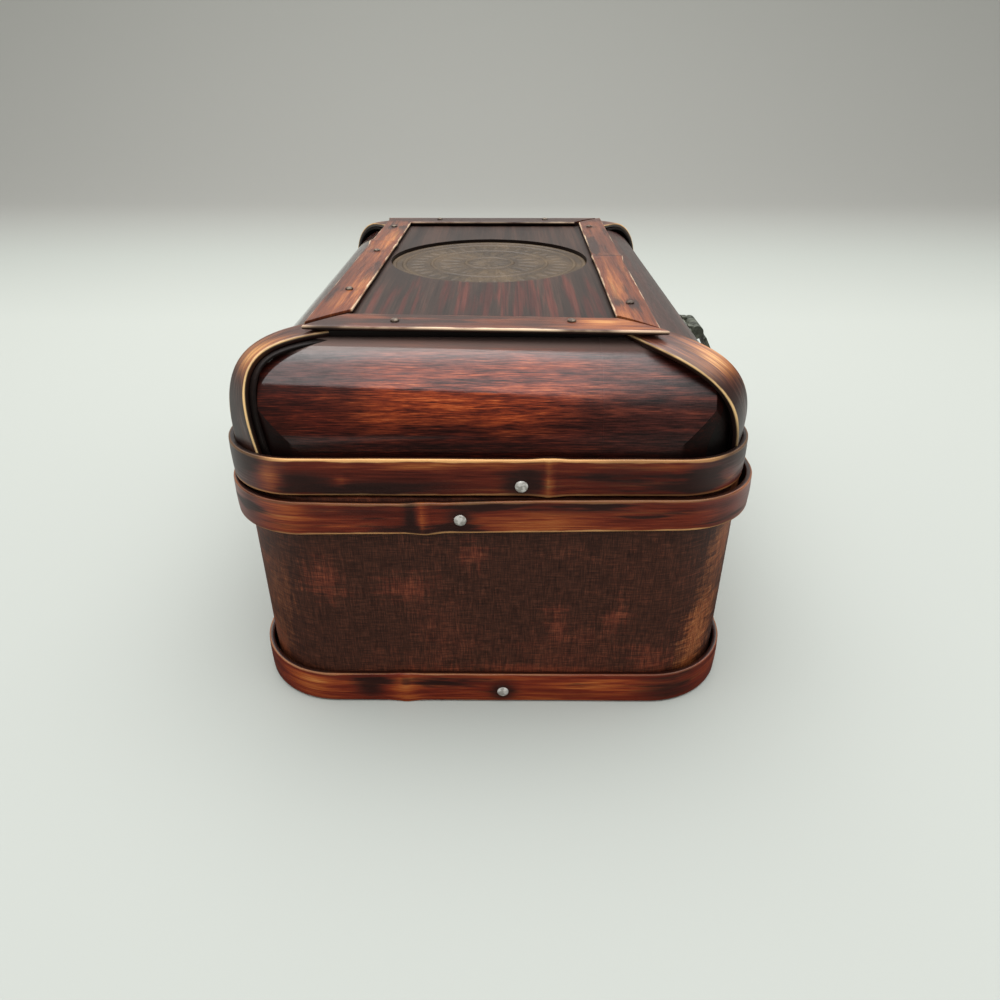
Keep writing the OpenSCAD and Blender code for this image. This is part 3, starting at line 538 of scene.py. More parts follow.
def line_mesh(name, points, edges, **attributes):
    """Points joined by edges, with an attribute of a number or a vector at each point."""
    mesh = bpy.data.meshes.new(name)
    mesh.from_pydata([tuple(p) for p in points], edges, [])
    for label, values in attributes.items():
        values = np.asarray(values, np.float32)
        kind, field = ("FLOAT_VECTOR", "vector") if values.ndim == 2 else ("FLOAT", "value")
        mesh.attributes.new(label, kind, "POINT").data.foreach_set(field, values.ravel())
    return new_object(name, mesh)


def grown(tree, source, name, **values):
    """Runs a geometry tree on a source and returns the result as a plain mesh object."""
    modifier = source.modifiers.new("grow", "NODES")
    for item in tree.interface.items_tree:
        if item.in_out == "INPUT" and item.name in values:
            modifier[item.identifier] = values.pop(item.name)
    modifier.node_group = tree
    depsgraph = bpy.context.evaluated_depsgraph_get()
    mesh = bpy.data.meshes.new_from_object(
        source.evaluated_get(depsgraph), preserve_all_data_layers=True, depsgraph=depsgraph
    )
    bpy.data.objects.remove(source)
    mesh.name = name
    outward = bmesh.new()
    outward.from_mesh(mesh)
    bmesh.ops.recalc_face_normals(outward, faces=outward.faces)
    outward.to_mesh(mesh)
    outward.free()
    return new_object(name, mesh)


def places(piece):
    """Every vertex of a piece as rows of x, y, z."""
    flat = np.zeros(len(piece.data.vertices) * 3, np.float32)
    piece.data.vertices.foreach_get("co", flat)
    return flat.reshape(-1, 3)


def stain(piece, name, spots):
    """Soft spots as a vertex attribute: each has a place, half-sizes in x, y, z and a strength."""
    at = places(piece)
    value = np.zeros(len(at), np.float32)
    for centre, half, strength in spots:
        far = (((at - np.array(centre)) / np.array(half)) ** 2).sum(1)
        value = np.maximum(value, strength * np.exp(-far))
    piece.data.attributes.new(name, "FLOAT", "POINT").data.foreach_set("value", value)


def solids_of(node):
    """Lowest and highest corner of each separate solid in a CAD node, in the order of its mesh."""
    shape = bmesh.new()
    shape.from_mesh(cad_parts[node].data)
    bmesh.ops.remove_doubles(shape, verts=shape.verts, dist=0.001 * MM)
    left, found = set(shape.verts), []
    for first in shape.verts:
        if first not in left:
            continue
        left.remove(first)
        group, fresh = [], [first]
        while fresh:
            vert = fresh.pop()
            group.append(vert.co.copy())
            for edge in vert.link_edges:
                other = edge.other_vert(vert)
                if other in left:
                    left.remove(other)
                    fresh.append(other)
        found.append((
            Vector([min(p[i] for p in group) for i in range(3)]),
            Vector([max(p[i] for p in group) for i in range(3)]),
        ))
    shape.free()
    return found


def strip_section(width, thickness, curl=0.0):
    """Closed outline of a strip: across runs from -1 to 1, depth from 0 inside to 1 outside.

    A curled strip's underside rises towards both edges.
    """
    across = [(i / 6 - 1) * (1 - 2 * EDGE_R / width) for i in range(13)]
    depth = [1.0] * len(across)
    bevel = [
        (1 - 2 * EDGE_R / width * (1 - math.sin(a)), 1 - EDGE_R / thickness * (1 - math.cos(a)))
        for a in map(math.radians, (22, 45, 68, 90))
    ]
    across = [-b[0] for b in reversed(bevel)] + across + [b[0] for b in bevel]
    depth = [b[1] for b in reversed(bevel)] + depth + [b[1] for b in bevel]
    across += [1.0, 0.96, 0.6, 0.0, -0.6, -0.96, -1.0]
    depth += [0.12 + curl, curl, 0.0, 0.0, 0.0, curl, 0.12 + curl]
    points = [(d * thickness, a * width / 2, 0) for a, d in zip(across, depth)]
    edges = [(i, (i + 1) % len(points)) for i in range(len(points))]
    return line_mesh("strip_section", points, edges, across=across, depth=depth)


def nail_head(radius, height):
    """A domed head, beaten a little flat and out of round."""
    shape = bmesh.new()
    rings, sides = 6, 20
    rows = []
    for i in range(rings):
        t = i / rings
        row = []
        for k in range(sides):
            a = 2 * math.pi * k / sides
            wave = 1 + 0.05 * noise.noise(Vector((math.cos(a), math.sin(a), 3)))
            r = radius * math.cos(t * math.pi / 2) ** 0.8 * wave
            z = height * math.sin(t * math.pi / 2)
            z *= 0.92 + 0.12 * noise.noise(Vector((r * math.cos(a), r * math.sin(a), 0)) / (0.7 * MM))
            row.append(shape.verts.new((r * math.cos(a), r * math.sin(a), z)))
        rows.append(row)
    top = shape.verts.new((0, 0, height * 0.95))
    foot = shape.verts.new((0, 0, -0.2 * height))
    for low, high in zip(rows, rows[1:]):
        for k in range(sides):
            shape.faces.new((low[k], low[(k + 1) % sides], high[(k + 1) % sides], high[k]))
    for k in range(sides):
        shape.faces.new((rows[-1][k], rows[-1][(k + 1) % sides], top))
        shape.faces.new((rows[0][(k + 1) % sides], rows[0][k], foot))
    return built("nail_head", shape)


# The box's pieces

SWEEP = strip_tree()
SET_ON = scatter_tree()
RADIAL = radial_tree()
BAND_BAMBOO = scorched_bamboo(
    "scorched_bamboo_band",
    [(0.32, "#2c0c07"), (0.45, "#471409"), (0.56, "#63200f"), (0.67, "#8c451d"), (0.82, "#cb8a48")],
    "#e8ae6c", edge_high=1.0, edge_low=0.35, edge_from=0.83, steady=0.45, seed=1.7,
)
RIM_BAMBOO = scorched_bamboo(
    "scorched_bamboo_base_rim",
    [(0.32, "#330d07"), (0.44, "#51170a"), (0.54, "#702611"), (0.65, "#99491d"), (0.79, "#cd8a47")],
    "#c8935a", edge_high=0.3, edge_low=0.95, edge_from=0.83, steady=0.4, seed=5.1,
)
FOOT_BAMBOO = scorched_bamboo(
    "scorched_bamboo_foot",
    [(0.32, "#3a0f07"), (0.43, "#5b190c"), (0.52, "#792912"), (0.62, "#a04c1d"), (0.76, "#d18b47")],
    "#b5804f", edge_high=0.5, edge_low=0.4, edge_from=0.90, steady=0.3, seed=9.4,
)
HIP_BAMBOO = scorched_bamboo(
    "scorched_bamboo_hip",
    [(0.32, "#281614"), (0.43, "#402420"), (0.54, "#60372b"), (0.65, "#a4673c"), (0.78, "#dfa768")],
    "#f6cc8e", edge_high=1.0, edge_low=1.0, edge_from=0.90, steady=0.6, seed=13.3,
)
FRAME_BAMBOO = scorched_bamboo(
    "scorched_bamboo_frame",
    [(0.32, "#38150c"), (0.43, "#592818"), (0.53, "#793d24"), (0.66, "#ae6838"), (0.80, "#dda464")],
    "#fbdcb8", edge_high=0.9, edge_low=0.9, edge_from=0.93, steady=0.7, seed=17.9,
)
# A near-black board that stands for shade: painted shade in the gaps beside the hip strips and at the lid's
# mitred corners
SHADE_BLACK_BOARD = stained_board("shade_black_board", [(0.30, "#080403"), (0.50, "#120806"), (0.72, "#1f0f0a")])
PANEL_END = shellacked_panel(
    "shellacked_end_panel", "y", (-112 * MM, 0, 113 * MM), (60 * MM, 58 * MM, 13 * MM),
)
PANEL_FAR = shellacked_panel(
    "shellacked_far_panel", "y", (110 * MM, -6 * MM, 112 * MM), (60 * MM, 50 * MM, 13 * MM),
)


def loop_path(half_l, half_w, corner_r, middle_y, middle_z, seam):
    """Points round a box from the seam at the back, and the way each faces."""
    points, facing = [], []
    corners = [(1, 1), (1, -1), (-1, -1), (-1, 1)]
    starts = [90, 0, -90, -180]

    def straight_to(x, y, nx, ny):
        if points:
            before = Vector(points[-1][:2])
            count = max(1, int((Vector((x, y)) - before).length / (5 * MM)))
            for i in range(1, count):
                step = before.lerp(Vector((x, y)), i / count)
                points.append((step.x, step.y, middle_z))
                facing.append((nx, ny, 0))
        points.append((x, y, middle_z))
        facing.append((nx, ny, 0))

    straight_to(seam / 2, middle_y + half_w, 0, 1)
    for (sx, sy), start in zip(corners, starts):
        cx, cy = sx * (half_l - corner_r), middle_y + sy * (half_w - corner_r)
        for i in range(19):
            a = math.radians(start - 5 * i)
            x, y = cx + corner_r * math.cos(a), cy + corner_r * math.sin(a)
            if i == 0:
                straight_to(x, y, math.cos(a), math.sin(a))
            else:
                points.append((x, y, middle_z))
                facing.append((math.cos(a), math.sin(a), 0))
    straight_to(-seam / 2, middle_y + half_w, 0, 1)
    return np.array(points), np.array(facing)


def nail_places(node):
    """Where each nail of a node enters its strip, and the way its head faces."""
    found = []
    for low, high in solids_of(node):
        middle, size = (low + high) / 2, high - low
        axis = max(range(3), key=lambda i: size[i])
        sign = 1 if axis == 2 or middle[axis] > 0 else -1
        facing = Vector([sign if i == axis else 0 for i in range(3)])
        tip = high if sign > 0 else low
        place = Vector([tip[i] if i == axis else middle[i] for i in range(3)])
        found.append((place, facing))
    return found


def halo(spots, along=5.5 * MM, up=5.5 * MM, strength=1.0):
    """Scorch round each nail, left by the hot awl."""
    return [(place, (along, along, up), strength) for place, facing in spots]


def band(node, corner_r, body, material, nails, nodes_at, marks, rubbed, drift, seed):
    """A strip bent round the box, standing where the CAD band stands.

    At a place round the box, drift gives how far its two edges are shifted, in mm.
    """
    low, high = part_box(node)
    thickness, width = 2.0 * MM, high.z - low.z
    middle = (low + high) / 2
    points, facing = loop_path(
        high.x - thickness, (high.y - low.y) / 2 - thickness, corner_r, middle.y, middle.z, 0.4 * MM
    )
    lifts = np.array([drift(x, y) for x, y, z in points]) * MM
    path = line_mesh(
        node + "_path", points, [(i, i + 1) for i in range(len(points) - 1)],
        out=facing, lift_low=lifts[:, 0], lift_high=lifts[:, 1],
    )
    section = strip_section(width, thickness)
    piece = grown(
        SWEEP, path, "bent_" + node, Section=section, Material=material, Step=SWEEP_STEP,
        Width=width - 0.5 * MM, Thickness=thickness, Wobble=0.25 * MM, Swell=0.45 * MM,
        **{"First Node": nodes_at[0], "Node Spacing": nodes_at[1], "Seed": seed},
    )
    bpy.data.objects.remove(section)
    stain(piece, "char", marks + halo(nail_places(nails)))
    stain(piece, "pale", rubbed)
    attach(piece, body)
    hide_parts(node)


def near_end(y, z, half_y, half_z, strength=1.0):
    """A mark on the near end of a band, in mm."""
    return ((-125 * MM, y * MM, z * MM), (12 * MM, half_y * MM, half_z * MM), strength)


def foot_band():
    marks = [
        near_end(43, 7, 6, 6, 0.9), near_end(-62, 6, 16, 7, 0.8), near_end(10, 10, 16, 2.5, 0.5),
        near_end(-28, 4, 14, 3, 0.4),
    ]
    rubbed = [near_end(31, 6, 5, 7, 0.9), near_end(64, 8, 10, 5, 0.9), near_end(-36, 8, 16, 4, 0.5)]
    band(
        "bottom_band", 27.5 * MM, "base", FOOT_BAMBOO, "bottom_band_nails",
        (0.6157, 0.262), marks, rubbed, lambda x, y: (0.25, 0.2), 2.3,
    )


def base_rim():
    def drift(x, y):
        """The lower edge drops towards the back at the near end, and the upper one with it."""
        near = min(1.0, max(0.0, (-40 * MM - x) / (80 * MM)))
        slope = max(-1.0, min(1.0, y / (60 * MM)))
        sag = 0.9 * math.exp(-((y - 30 * MM) / (28 * MM)) ** 2)
        return near * (-0.35 - 1.0 * slope), near * (0.45 - 0.45 * slope - sag)

    marks = [
        near_end(24.5, 77, 2.6, 6, 1.1), near_end(76, 78, 6, 8, 0.8), near_end(-30, 79, 30, 3, 0.5),
        near_end(38, 79, 12, 3.5, 0.5), near_end(-72, 78, 6, 8, 0.5), near_end(5, 80, 10, 2.5, 0.6),
        near_end(-12, 78.5, 20, 3, 0.4), near_end(55, 79, 7, 4, 0.6),
    ]
    rubbed = [
        near_end(62, 76.5, 9, 5, 0.8), near_end(-18, 74.5, 26, 3.5, 0.9), near_end(21, 77, 1.5, 7, 1.0),
        near_end(45, 74, 14, 2.5, 0.5),
    ]
    band(
        "base_rim_band", 24.5 * MM, "base", RIM_BAMBOO, "base_rim_nails",
        (0.6096, 0.283), marks, rubbed, drift, 6.1,
    )


def lid_rim():
    marks = [
        near_end(57, 88, 12, 4, 1.0), near_end(32, 86, 26, 3.5, 0.85), near_end(-11, 88.5, 8, 7),
        near_end(-38, 90, 14, 6, 0.55), near_end(-66, 89, 8, 6, 0.9), near_end(78, 89, 6, 8, 0.9),
        near_end(-50, 87, 22, 4, 0.4),
        ((-112 * MM, 84 * MM, 96 * MM), (22 * MM, 20 * MM, 10 * MM), 1.8),
        ((-112 * MM, -84 * MM, 99 * MM), (22 * MM, 19 * MM, 9 * MM), 1.8),
    ]
    rubbed = [
        near_end(-17.2, 89, 1.4, 8, 1.2), near_end(67, 89, 4, 7, 0.9), near_end(45, 89, 2, 3, 0.5),
        near_end(18, 93, 40, 2.2, 0.7), near_end(-72, 86, 5, 3, 0.9),
    ]
    band(
        "lid_rim_band", 22.5 * MM, "lid", BAND_BAMBOO, "lid_rim_nails",
        (0.5611, 0.301), marks, rubbed, lambda x, y: (0.15, 0.1), 11.9,
    )


def twisted_way(handles, headings):
    """A strip's middle line and the way it faces, for the corner at +X and +Y.

    The line is a curve with four handles in mm, from under the frame to behind the band; the
    strip's width turns from one heading to another on the way.
    """
    points, facing, wide = [], [], []
    knots = [Vector(handle) for handle in handles]
    for i in range(41):
        t = i / 40
        weights = [(1 - t) ** 3, 4.5 * t * (1 - t) ** 2, 4.5 * t * t * (1 - t), t ** 3]
        points.append(sum((k * w for k, w in zip(knots, weights)), Vector()) / sum(weights))
        turn = (1 - t) ** 2 * headings[0] + 2 * t * (1 - t) * headings[1] + t * t * headings[2]
        wide.append(Vector((-math.cos(math.radians(turn)), math.sin(math.radians(turn)), 0)))
    for i, across in enumerate(wide):
        ahead = points[min(i + 1, 40)] - points[max(i - 1, 0)]
        out = ahead.cross(across).normalized()
        facing.append(out if out.z + 0.3 * out.y > 0 else -out)
    return np.array(points), np.array(facing)


def plain_way():
    """The middle line of a strip that bends once, square over the corner, in mm."""
    corner, bend_r, in_to_axis = Vector((122, 81, 0)), 21, 32.53
    inward = Vector((-1, -1, 0)).normalized()
    # Six points on the flat, a quarter turn in steps of 5 degrees, six points down
    turns = [0] * 6 + [math.radians(5 * i) for i in range(1, 19)] + [math.pi / 2] * 6
    points, facing = [], []
    for i, turn in enumerate(turns):
        straight = 10 * (1 - i / 5) if i < 6 else 0
        drop_z = 16 * (i - 23) / 6 if i > 23 else 0
        at = corner + inward * (in_to_axis + straight - bend_r * math.sin(turn))
        points.append(at + Vector((0, 0, 103 + bend_r * math.cos(turn) - drop_z)))
        facing.append(-inward * math.sin(turn) + Vector((0, 0, math.cos(turn))))
    return np.array(points), np.array(facing)


def hip_strips():
    """Four strips over the lid's corners, from under the frame to behind the band.

    The two near ones are twisted to lie against the corners. Each has a thinner second
    strip under it.
    """
    low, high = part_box("lid_rim_band")
    middle_y = (low.y + high.y) / 2
    near_back = twisted_way(
        [(87.6, 51.5, 124), (99.5, 73.1, 124), (112.8, 78.0, 117.2), (114.9, 71.6, 87)], (-5.5, 28.9, 48.6)
    )
    near_front = twisted_way(
        [(90.2, 47.4, 124), (107.1, 56.8, 124), (116, 80.2, 119), (105.5, 77.8, 87)], (102.3, 44.3, 18.7)
    )
    plain = plain_way()
    # Which corner, the strip's way, and how much wider and how far aside the strip under it lies, in mm
    ways = {
        "hip_strip_back_left": (-1, 1, near_back, 3.0, -1.1),
        "hip_strip_front_left": (-1, -1, near_front, -4.0, 0),
        "hip_strip_back_right": (1, 1, plain, 1.0, 0), "hip_strip_front_right": (1, -1, plain, 1.0, 0),
    }

    def mark(sx, sy, x, y, z, half, half_z, strength):
        """A mark over one corner, in mm."""
        at = (sx * x * MM, middle_y + sy * y * MM, z * MM)
        return at, (half * MM, half * MM, half_z * MM), strength

    for number, (node, (sx, sy, way, wider, shift)) in enumerate(ways.items()):
        mirror = np.array([sx, sy, 1])
        middle = way[0] * mirror * MM + np.array([0, middle_y, 0])
        facing = way[1] * mirror
        steps = [(i, i + 1) for i in range(len(middle) - 1)]
        layers = []
        # Each layer's depth in mm, width, thickness, shift in mm and finish
        for under, layer_w, layer_t, slide, material in (
            (1.0, STRIP_WIDTH, 2.0 * MM, 0, HIP_BAMBOO),
            # The lower layer is near-black: painted shade for the dark gap between the strip and the panels
            (2.3, STRIP_WIDTH + wider * MM, 1.2 * MM, shift, SHADE_BLACK_BOARD),
        ):
            lift = np.full(len(middle), slide * MM)
            path = line_mesh(
                f"{node}_path", middle - facing * under * MM, steps, out=facing, lift_low=lift,
                lift_high=lift,
            )
            section = strip_section(layer_w, layer_t)
            layers.append(grown(
                SWEEP, path, "bent_" + node, Section=section, Material=material, Step=SWEEP_STEP,
                Width=layer_w - 0.4 * MM, Thickness=layer_t, Wobble=0.3 * MM, Swell=0.3 * MM,
                **{"First Node": 0.4, "Node Spacing": 0.9, "Seed": 3.0 + number + under},
            ))
            bpy.data.objects.remove(section)
        piece = layers[0]
        with bpy.context.temp_override(active_object=piece, selected_editable_objects=layers):
            bpy.ops.object.join()
        stain(piece, "char", [mark(sx, sy, 113, 79, 98, 14, 14, 0.8), mark(sx, sy, 95, 60, 125, 9, 3, 0.5)])
        stain(piece, "pale", [mark(sx, sy, 105, 69, 121, 10, 6, 1.25)])
        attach(piece, "lid")
        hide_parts(node)


def frame_strips():
    """The four mitred strips on top. The near mitres are cut a little long, as the real ones are."""
    low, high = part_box("frame_left_strip")
    mid_y = (low.y + high.y) / 2
    base_z, thickness = low.z, 2.5 * MM
    # Plan corners of each strip, in mm from the lid's middle: outer edge start and end, inner end and start
    plans = {
        "frame_left_strip": [(-95.6, 55.6), (-100.6, -56.2), (-86.6, -42.0), (-82.0, 43.5)],
        "frame_front_strip": [(-97.5, -54.2), (97.5, -57.4), (84.9, -44.8), (-83.6, -42.2)],
        "frame_right_strip": [(97.5, -55.0), (97.5, 55.0), (84.9, 42.4), (84.9, -42.4)],
        "frame_back_strip": [(97.5, 54.4), (-91.6, 55.8), (-77.2, 43.2), (84.9, 41.8)],
    }
    # Bamboo nodes along each strip: the first one and their spacing, past the end where it has none
    nodes_at = [(0.4, 0.9), (0.093, 0.5), (0.3, 0.9), (0.059, 0.5)]

    def mark(x, y, half_x, half_y, strength):
        """A mark on the frame, in mm from the lid's middle."""
        return (x * MM, mid_y + y * MM, base_z), (half_x * MM, half_y * MM, 9 * MM), strength

    scorched = halo(nail_places("frame_nails"), 5 * MM, 5 * MM, 0.75) + [
        mark(-94, 20, 6, 34, 0.6), mark(-88, -8, 3, 22, 0.5), mark(-40, 52, 60, 2.5, 0.4),
        mark(10, -51, 70, 2.5, 0.5), mark(-93, 48, 8, 9, 1.1), mark(-93, -14, 6, 12, 0.7),
        mark(91, 0, 8, 70, 1.4), mark(20, -47, 28, 7, 0.6),
    ]
    rubbed = [
        mark(-50, 45, 22, 5, 0.8), mark(40, 46, 26, 5, 0.9), mark(-48, -46, 24, 5, 0.8),
        mark(-92, -37, 4, 8, 1.3), mark(-88, -44, 14, 4, 0.8),
    ]
    for number, (node, corners) in enumerate(plans.items()):
        a, b, c, d = (Vector((x * MM, mid_y + y * MM, base_z)) for x, y in corners)
        start, end = (a + d) / 2, (b + c) / 2
        ahead = (end - start).normalized()
        side = ahead.cross(Vector((0, 0, 1)))
        width = ((b - c).dot(side) + (a - d).dot(side)) / 2
        sign = 1 if width > 0 else -1
        count = int((end - start).length / (5 * MM))
        points = np.array([start.lerp(end, i / count) for i in range(count + 1)])
        up = np.tile((0.0, 0.0, 1.0), (count + 1, 1))
        share = np.linspace(0, 1, count + 1)
        spread = ((a - d).dot(side) * (1 - share) + (b - c).dot(side) * share - width) / 2
        path = line_mesh(
            node + "_path", points, [(i, i + 1) for i in range(count)],
            out=up, lift_low=-spread, lift_high=spread,
        )
        section = strip_section(abs(width), thickness, 0.42)
        piece = grown(
            SWEEP, path, "mitred_" + node, Section=section, Material=FRAME_BAMBOO, Step=SWEEP_STEP,
            Width=abs(width) - 0.3 * MM, Thickness=thickness - 0.15 * MM, Wobble=0.22 * MM, Swell=0.5 * MM,
            **{
                "First Node": nodes_at[number][0], "Node Spacing": nodes_at[number][1],
                "Start Skew": (a - d).dot(ahead) / 2 * sign, "End Skew": (b - c).dot(ahead) / 2 * sign,
                "Seed": 21.0 + 3 * number,
            },
        )
        bpy.data.objects.remove(section)
        stain(piece, "char", scorched)
        stain(piece, "pale", rubbed)
        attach(piece, "lid")
        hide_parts(node)


def nail_heads(node, body, material, radius, seed, near_off=(0, 0, 0)):
    """Beaten heads where the CAD nails stand; the near end's may sit a little off."""
    near_x = -120 * MM
    points, ways = [], []
    for place, facing in nail_places(node):
        under = place - facing * NAIL_HIGH
        points.append(under + Vector(near_off) if under.x < near_x else under)
        ways.append(facing)
    source = line_mesh(node + "_points", points, [], facing=ways)
    head = nail_head(radius, NAIL_HIGH)
    piece = grown(
        SET_ON, source, "beaten_" + node, Shape=head, Material=material, Turn=ANY_TURN, Seed=seed
    )
    bpy.data.objects.remove(head)
    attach(piece, body)
    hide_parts(node)


def leaf(length, width, height):
    """A low raised leaf lying along +X."""
    shape = bmesh.new()
    rows = []
    steps, ribs = 10, (-1, -0.5, 0, 0.5, 1)
    for i in range(steps + 1):
        t = i / steps
        half = width / 2 * math.sin(math.pi * t) ** 0.75
        rise = height * math.sin(math.pi * t) ** 0.5
        rows.append([shape.verts.new((length * t, half * s, rise * (1 - abs(s)) ** 0.6)) for s in ribs])
    for a, b in zip(rows, rows[1:]):
        for k in range(len(ribs) - 1):
            shape.faces.new((a[k], b[k], b[k + 1], a[k + 1]))
    bmesh.ops.remove_doubles(shape, verts=shape.verts, dist=0.001 * MM)
    return built("leaf", shape)


def carved_medallion(material):
    """A round of soapstone with a plain rosette in rings of leaves: a stock pattern."""
    low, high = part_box("medallion")
    middle, radius = (low + high) / 2, (high.x - low.x) / 2
    rim_down, leaf_down, leaf_high = 0.8 * MM, 0.56 * MM, 0.34 * MM
    top = high.z - rim_down

    # Turned section from the middle out: radius and height in mm under the rim's top
    outline = [
        (0, -0.45), (9.0, -0.50), (9.6, -0.20), (10.4, -0.20), (11.0, -0.55), (23.6, -0.55),
        (24.2, -0.25), (25.0, -0.25), (25.6, -0.55), (35.4, -0.55), (36.0, -0.20), (36.9, -0.20),
        (37.5, -0.50), (39.6, -0.45), (40.2, -0.05), (41.0, 0.0), (41.5, -0.15), (41.6, -1.5), (0, -1.5),
    ]
    shape = bmesh.new()
    sides = 128
    angles = [2 * math.pi * k / sides for k in range(sides)]
    round_about = [(math.cos(a), math.sin(a)) for a in angles]
    rows = []
    for r, z in outline:
        if r == 0:
            rows.append([shape.verts.new((middle.x, middle.y, top + z * MM))] * sides)
            continue
        r *= radius / outline[-2][0]
        rows.append([
            shape.verts.new((middle.x + r * x, middle.y + r * y, top + z * MM)) for x, y in round_about
        ])
    for a, b in zip(rows, rows[1:]):
        for k in range(sides):
            corners = dict.fromkeys((a[k], a[(k + 1) % sides], b[(k + 1) % sides], b[k]))
            shape.faces.new(list(corners))
    bmesh.ops.recalc_face_normals(shape, faces=shape.faces)
    piece = built("carved_medallion", shape, smooth=False)
    piece.data.materials.append(material)

    # Rings of leaves: count, inner radius, leaf length, width and a turn off the radius, in mm
    rings = [
        (12, 1.2, 7.4, 3.4, 0), (18, 12.2, 10.4, 3.6, 18), (18, 12.2, 10.4, 3.0, -24),
        (36, 27.0, 7.4, 3.4, 0),
    ]
    parts = [piece]
    for number, (count, inner, length, width, turn) in enumerate(rings):
        motif = leaf(length * MM, width * MM, leaf_high)
        motif.data.transform(Matrix.Rotation(math.radians(turn), 4, "Z"))
        angles = [2 * math.pi * (k + 0.5 * (number % 2)) / count for k in range(count)]
        facing = np.array([(math.cos(a), math.sin(a), 0) for a in angles])
        spots = facing * inner * MM + np.array([middle.x, middle.y, top - leaf_down])
        ring = line_mesh("leaf_points", spots, [], facing=facing)
        parts.append(grown(RADIAL, ring, f"leaves_{number}", Shape=motif, Material=material))
        bpy.data.objects.remove(motif)
    with bpy.context.temp_override(active_object=piece, selected_editable_objects=parts):
        bpy.ops.object.join()
    at = places(piece)
    raised = np.clip((at[:, 2] - (top - 0.60 * MM)) / (0.5 * MM), 0, 1)
    mark = piece.data.attributes.new("raised", "FLOAT", "POINT")
    mark.data.foreach_set("value", raised.astype(np.float32))
    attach(piece, "lid")
    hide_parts("medallion")


def paint(material, *nodes):
    """Gives CAD nodes their finish."""
    for node in nodes:
        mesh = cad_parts[node].data
        mesh.materials.clear()
        mesh.materials.append(material)


def finish_wood():
    paint(worn_wall_veneer("worn_wall_veneer"), "base_wall", "lid_collar")
    paint(PANEL_END, "lid_left_panel")
    paint(PANEL_FAR, "lid_right_panel")
    long_panel = shellacked_panel(
        "shellacked_long_panel", "x", (0, 0, 100 * MM), (70 * MM, 400 * MM, 8 * MM),
    )
    paint(long_panel, "lid_front_panel", "lid_back_panel")
    paint(waxed_top_veneer("waxed_top_veneer"), "lid_top_board")
    board = stained_board("stained_board", [(0.30, "#1f130e"), (0.50, "#3a251c"), (0.72, "#5a3d2c")])
    paint(board, "base_floor", "lid_core_board")
    # The corner blocks are near-black: painted shade where they show through the gaps at the lid's corners
    paint(SHADE_BLACK_BOARD, "lid_corner_blocks")


def finish_hardware():
    brass = patinated_brass("patinated_brass")
    paint(
        brass, "hinge_base_leaves", "hinge_lid_leaves", "hinge_pins", "staple_plate", "staple",
        "hasp_plate", "hasp_pin", "hasp_tongue",
    )
    screw = hammered_nail("brass_screw", "#8f8a72", "#4b4a3e", 0.42, 0.7)
    paint(screw, "hinge_base_screws", "hinge_lid_screws", "staple_plate_pins", "hasp_plate_pins")


def all_nails():
    bright = hammered_nail("beaten_aluminium", "#dcd9d3", "#a8a49d", 0.42, 0.25)
    dull = hammered_nail("oxidised_nail", "#75685a", "#4a3c32", 0.5, 0.4)
    nail_heads("bottom_band_nails", "base", bright, 2.0 * MM, 1)
    nail_heads("base_rim_nails", "base", bright, 1.95 * MM, 2)
    nail_heads("lid_rim_nails", "lid", bright, 2.0 * MM, 3, (0, -1.2 * MM, -0.8 * MM))
    nail_heads("frame_nails", "lid", dull, 1.45 * MM, 4)


# The room

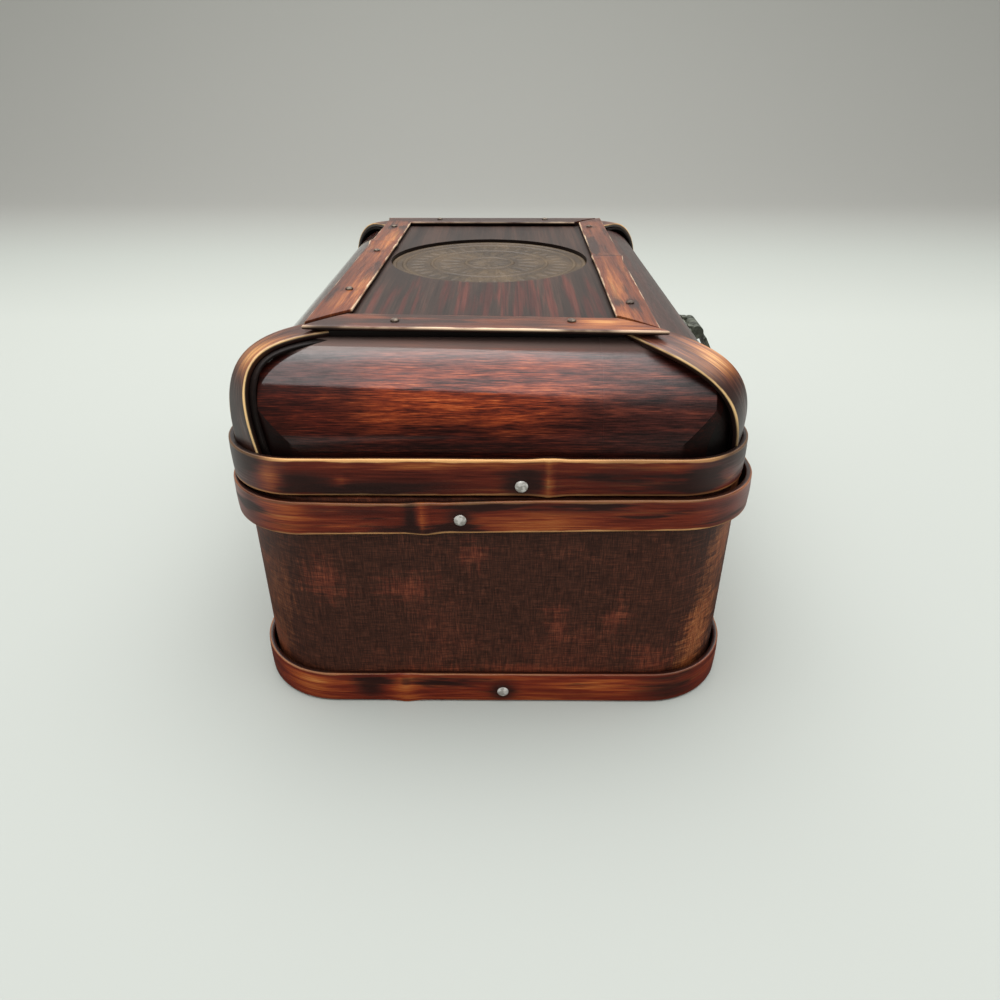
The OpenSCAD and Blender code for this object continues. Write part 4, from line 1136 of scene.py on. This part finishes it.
def studio():
    """A pale table that sweeps up behind the box, one broad lamp above and a weak even sky."""
    material, add, shader = new_material("pale_paper")
    place = add("ShaderNodeTexCoord").outputs["Object"]
    split = add("ShaderNodeSeparateXYZ", place).outputs
    # The paper's colour is graded along the table, lightest just behind the box, darker in front and up the
    # wall: painted shade for the lamp's falloff
    far = add(STEP, split[0], -0.30, 1.30)
    paper = add(RAMP, far, stops=[
        (0.0, "#b2b6b1"), (0.35, "#bbbfb9"), (0.6, "#b6bab4"), (0.9, "#adada8"), (1.0, "#a6a6a1"),
    ])
    # Mirrored in the polish, the paper close to the box is dark
    mirrored = add("ShaderNodeLightPath").outputs["Is Glossy Ray"]
    mirrored = add(MULTIPLY, mirrored, add(STEP, split[0], 0.45, -0.15))
    beside = add(ABSOLUTE, split[1])
    mirrored = add(MULTIPLY, mirrored, add(STEP, beside, 0.26, 0.12))
    colour = add(BLEND, mirrored, paper, "#323231")
    feed(shader, {"Base Color": colour, "Roughness": 0.9, "Specular IOR Level": 0.2})

    # The paper is flat, bends up in a quarter round and ends in a low wall, in metres
    reach, flat_end, bend_r, wall_high = 8, 1.0, 0.5, 0.95
    bend = [
        (flat_end + bend_r * math.sin(a), bend_r - bend_r * math.cos(a))
        for a in np.linspace(0.1, math.pi / 2, 14)
    ]
    profile = [(-reach, 0.0), (flat_end, 0.0), *bend, (flat_end + bend_r, wall_high)]
    shape = bmesh.new()
    rows = [[shape.verts.new((x, y, z)) for x, z in profile] for y in (-reach, reach)]
    for i in range(len(profile) - 1):
        shape.faces.new((rows[0][i], rows[0][i + 1], rows[1][i + 1], rows[1][i]))
    sweep = built("paper_sweep", shape)
    sweep.data.materials.append(material)

    lamp = bpy.data.lights.new("ceiling_softbox", "AREA")
    lamp.shape = "RECTANGLE"
    lamp.size, lamp.size_y = 1.38, 1.6
    lamp.energy = 18.8
    light = new_object("ceiling_softbox", lamp)
    light.location = (0.03, 0.0, 1.1)
    light.rotation_euler = (0, 0, math.radians(-33))

    world = bpy.data.worlds.new("even_sky")
    world.use_nodes = True
    sky = world.node_tree
    add = partial(add_node, sky)
    ray = add("ShaderNodeLightPath")
    # Polish mirrors a dim room with a bright wall high behind the backdrop
    split = add("ShaderNodeSeparateXYZ", add("ShaderNodeTexCoord").outputs["Generated"]).outputs
    wall = add(MULTIPLY, add(STEP, split[2], 0.35, 0.70), add(STEP, split[0], 0.0, 0.4))
    room = add(BLEND, wall, "#262626", WALL_LIGHT)
    colour = add(BLEND, ray.outputs["Is Glossy Ray"], "#dfdfdd", room)
    # Past the paper's edge the camera sees its grey
    colour = add(BLEND, ray.outputs["Is Camera Ray"], colour, "#9d9d98")
    feed(sky.nodes["Background"], {"Color": colour})
    bpy.context.scene.world = world


def camera():
    """The photograph's camera: low over the near end, looking down the box's length."""
    lens = bpy.data.cameras.new("camera")
    lens.sensor_width = SENSOR_MM
    lens.lens = SENSOR_MM * FOCAL_PIXELS / PHOTO_PIXELS
    lens.clip_start = 0.01
    eye = new_object("camera", lens)
    eye.location = CAMERA_PLACE
    eye.rotation_euler = (math.radians(90 - CAMERA_DOWN_DEG), 0, math.radians(CAMERA_YAW_DEG - 90))
    bpy.context.scene.camera = eye


camera()
studio()
finish_wood()
finish_hardware()
foot_band()
base_rim()
lid_rim()
hip_strips()
frame_strips()
all_nails()
carved_medallion(soapstone("carved_soapstone"))

bpy.context.scene.view_settings.view_transform = "Standard"
